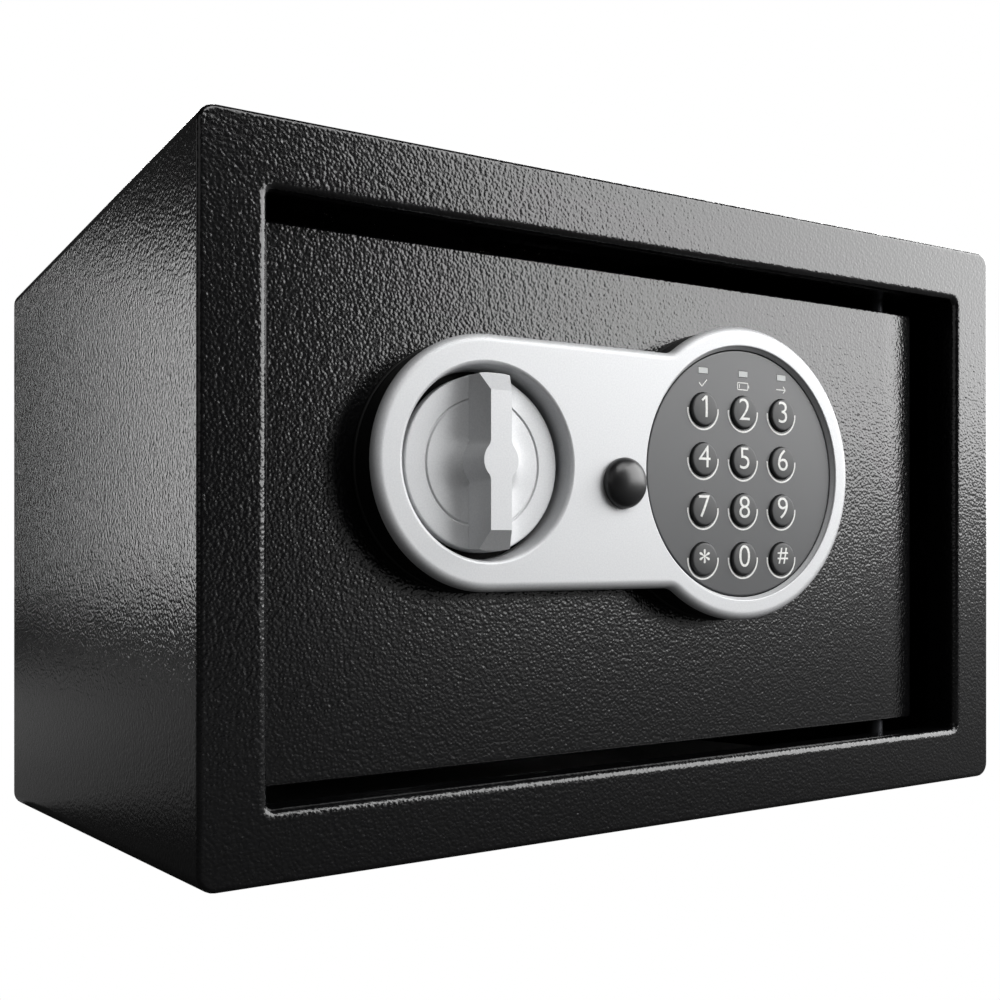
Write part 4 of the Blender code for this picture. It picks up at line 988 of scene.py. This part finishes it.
def make_knob(looks):
    """A disc with an engraved ring and a grip across it that flares into the face."""
    grip_front, back = depth_of("knob")
    axis = at(KNOB.x, 0, KNOB.z)
    edge, step = 0.5 * MM, 1.0 * MM
    groove, half, deep = 18.8 * MM, 0.5 * MM, 0.45 * MM
    profile = [(i * step, KNOB_FACE) for i in range(19)] + [(groove - half, KNOB_FACE)]
    profile += [(groove - 0.2 * half, KNOB_FACE + deep), (groove + 0.2 * half, KNOB_FACE + deep)]
    profile += [(groove + half, KNOB_FACE)] + [(i * step, KNOB_FACE) for i in range(20, 25)]
    profile += [(KNOB_RADIUS - inset, KNOB_FACE + rise) for inset, rise in quarter(edge, 90, 0, 4)]
    profile += [(KNOB_RADIUS, back), (0, back)]
    disc = turned(profile, axis, segments=160)
    for vert in disc.verts:
        if vert.co.y < FRONT + KNOB_FACE + 1.1 * edge:
            vert.co.y -= flare(vert.co.x - KNOB.x, vert.co.z - KNOB.z)
    knob = draft(disc, "knob_moulding")

    depth, half_width, bulge = CREASE
    shape = ((grip_front, 3.45 * MM, 19.7 * MM, 5.7 * MM), (-4.5 * MM, 5.2 * MM, 25.2 * MM, 7.3 * MM),
             (depth, half_width, 26.2 * MM, bulge), (depth + MM, half_width, 26.2 * MM, bulge))
    grip = draft(loft([(grip_outline(*sizes), level) for level, *sizes in shape]), "grip")
    inside = rod(KNOB_RADIUS - SEAM, grip_front - MM, depth + 2 * MM, axis, segments=160)
    carve(grip, inside, "INTERSECT")
    merged = bmesh.new()
    merged.from_mesh(grip.data)
    bpy.data.objects.remove(grip)
    join(knob, merged)
    carve(knob, rod(4.2 * MM, -1.5 * MM, back + MM, axis))
    soften(knob, 0.15 * MM, 2, 38)
    finish(knob, looks["silver_plastic"], "knob_turn", ["knob"], sharp=28)


def make_lock_plug(looks):
    """The domed rubber plug over the override lock."""
    low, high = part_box("key_cover")
    radius = (high.x - low.x) / 2
    top, foot = depth_of("key_cover")
    seat = TRIM_FACE - SEAM
    rise = seat - 0.8 * MM - top
    profile = [(radius * math.cos(t), seat - 0.8 * MM - rise * math.sin(t))
               for t in (math.radians(90 - 90 * i / 16) for i in range(17))]
    profile[0] = (0, top)
    profile += [(radius, seat - 0.25 * MM), (radius - 0.25 * MM, seat), (5.1 * MM, seat), (5.1 * MM, foot)]
    profile += [(4.2 * MM, foot), (4.2 * MM, seat - 0.8 * MM), (0, seat - 0.8 * MM)]
    plug = draft(turned(profile, at(LOCK.x, 0, LOCK.z), segments=96), "lock_plug")
    finish(plug, looks["key_rubber"], "key_cover_plug", ["key_cover"])


# ---------------------------------------------------------------- studio

def softbox(name, place, aim, size, power, tint="#ffffff"):
    """A rectangular soft light, sized (width, height) in metres, aimed at a point."""
    light = bpy.data.lights.new(name, "AREA")
    light.shape = "RECTANGLE"
    light.size, light.size_y = size
    light.energy = power
    light.color = colour(tint)[:3]
    lamp = bpy.data.objects.new(name, light)
    lamp.location = place
    lamp.rotation_euler = (Vector(aim) - Vector(place)).to_track_quat("-Z", "Y").to_euler()
    bpy.context.scene.collection.objects.link(lamp)


def backdrop(tree, seen, lit, end):
    """White when the camera looks at it, and a dimmer white to everything that it lights."""
    rays = add(tree, "ShaderNodeLightPath")
    mixed = add(tree, "ShaderNodeMixShader", {0: rays.outputs["Is Camera Ray"], 1: lit, 2: seen})
    tree.links.new(mixed.outputs[0], end.inputs["Surface"])


def make_studio():
    """A white floor and a dark room, white to the camera, with soft lights around the safe."""
    bm = bmesh.new()
    bmesh.ops.create_grid(bm, x_segments=1, y_segments=1, size=30.0)
    bmesh.ops.translate(bm, verts=bm.verts, vec=(0, 0, -0.2 * MM))
    floor = draft(bm, "studio_floor")
    paper, tree, surface = material("matt white paper", "#404040", 0.9)
    white = add(tree, "ShaderNodeEmission", {"Color": (1, 1, 1, 1), "Strength": 1.0})
    backdrop(tree, white.outputs[0], surface.outputs[0], tree.nodes["Material Output"])
    floor.data.materials.append(paper)

    world = bpy.data.worlds.new("studio")
    bpy.context.scene.world = world
    world.use_nodes = True
    tree = world.node_tree
    seen = tree.nodes["Background"]
    seen.inputs["Color"].default_value = (1, 1, 1, 1)
    lit = add(tree, "ShaderNodeBackground", {"Color": (1, 1, 1, 1), "Strength": 0.03})
    backdrop(tree, seen.outputs[0], lit.outputs[0], tree.nodes["World Output"])

    aim = (0, -0.1, 0.1)
    softbox("right_softbox", (1.66, -1.26, 1.0), aim, (2.0, 1.5), 68)
    softbox("top_softbox", (0.25, -1.4, 1.5), aim, (1.2, 0.8), 15)
    softbox("low_reflector", (1.4, -1.3, 0.2), aim, (2.0, 0.5), 2.2)
    softbox("left_softbox", (-1.9, 0.9, 0.6), aim, (1.1, 1.0), 1.7)
    softbox("back_left_softbox", (-0.85, 1.35, 0.35), aim, (0.5, 0.5), 2.0)
    softbox("front_left_softbox", (-1.7, -1.3, 0.9), aim, (1.8, 1.4), 3.5)
    softbox("back_right_softbox", (1.3, 1.9, 0.9), aim, (2.0, 1.5), 100)
    softbox("far_right_softbox", (2.3, 0.5, 0.8), aim, (1.6, 1.2), 45)
    bpy.context.scene.view_settings.view_transform = "Standard"


def make_camera():
    """The camera stands low on the safe's left, level, with its film back leaning a little so that
    uprights stay upright while the far side rises."""
    heading, lean = math.radians(33.58), 0.0335
    lens = bpy.data.cameras.new("camera")
    lens.sensor_width = 36
    lens.lens = 46.12
    lens.shift_x, lens.shift_y = -0.0363, 0.1109
    camera = bpy.data.objects.new("camera", lens)
    stand = bpy.data.objects.new("camera_stand", None)
    turn = Matrix.Rotation(-heading, 4, "Z") @ Matrix.Rotation(math.pi / 2, 4, "X")
    leaning = Matrix(((1, 0, 0, 0), (-lean, 1, 0, 0), (0, 0, 1, 0), (0, 0, 0, 1)))
    for made in (stand, camera):
        bpy.context.scene.collection.objects.link(made)
    camera.parent = stand
    camera.matrix_parent_inverse = Matrix.Translation((-0.2618, -0.4218, 0.0689)) @ turn @ leaning
    bpy.context.scene.camera = camera


# ---------------------------------------------------------------- the safe

looks = make_looks()
coat_cad_nodes(looks)
make_cabinet_shell(looks)
make_back(looks)
make_mat(looks)
make_hinges(looks)
make_door(looks)
make_inner_cover(looks)
make_cover_screws(looks)
make_battery_lid(looks)
make_reset_button(looks)
make_bolts(looks)
make_trim_tray(looks)
make_trim(looks)
make_keypad_panel(looks)
make_keys(looks)
make_print(looks)
make_knob(looks)
make_lock_plug(looks)
make_camera()
make_studio()

bpy.context.view_layer.update()
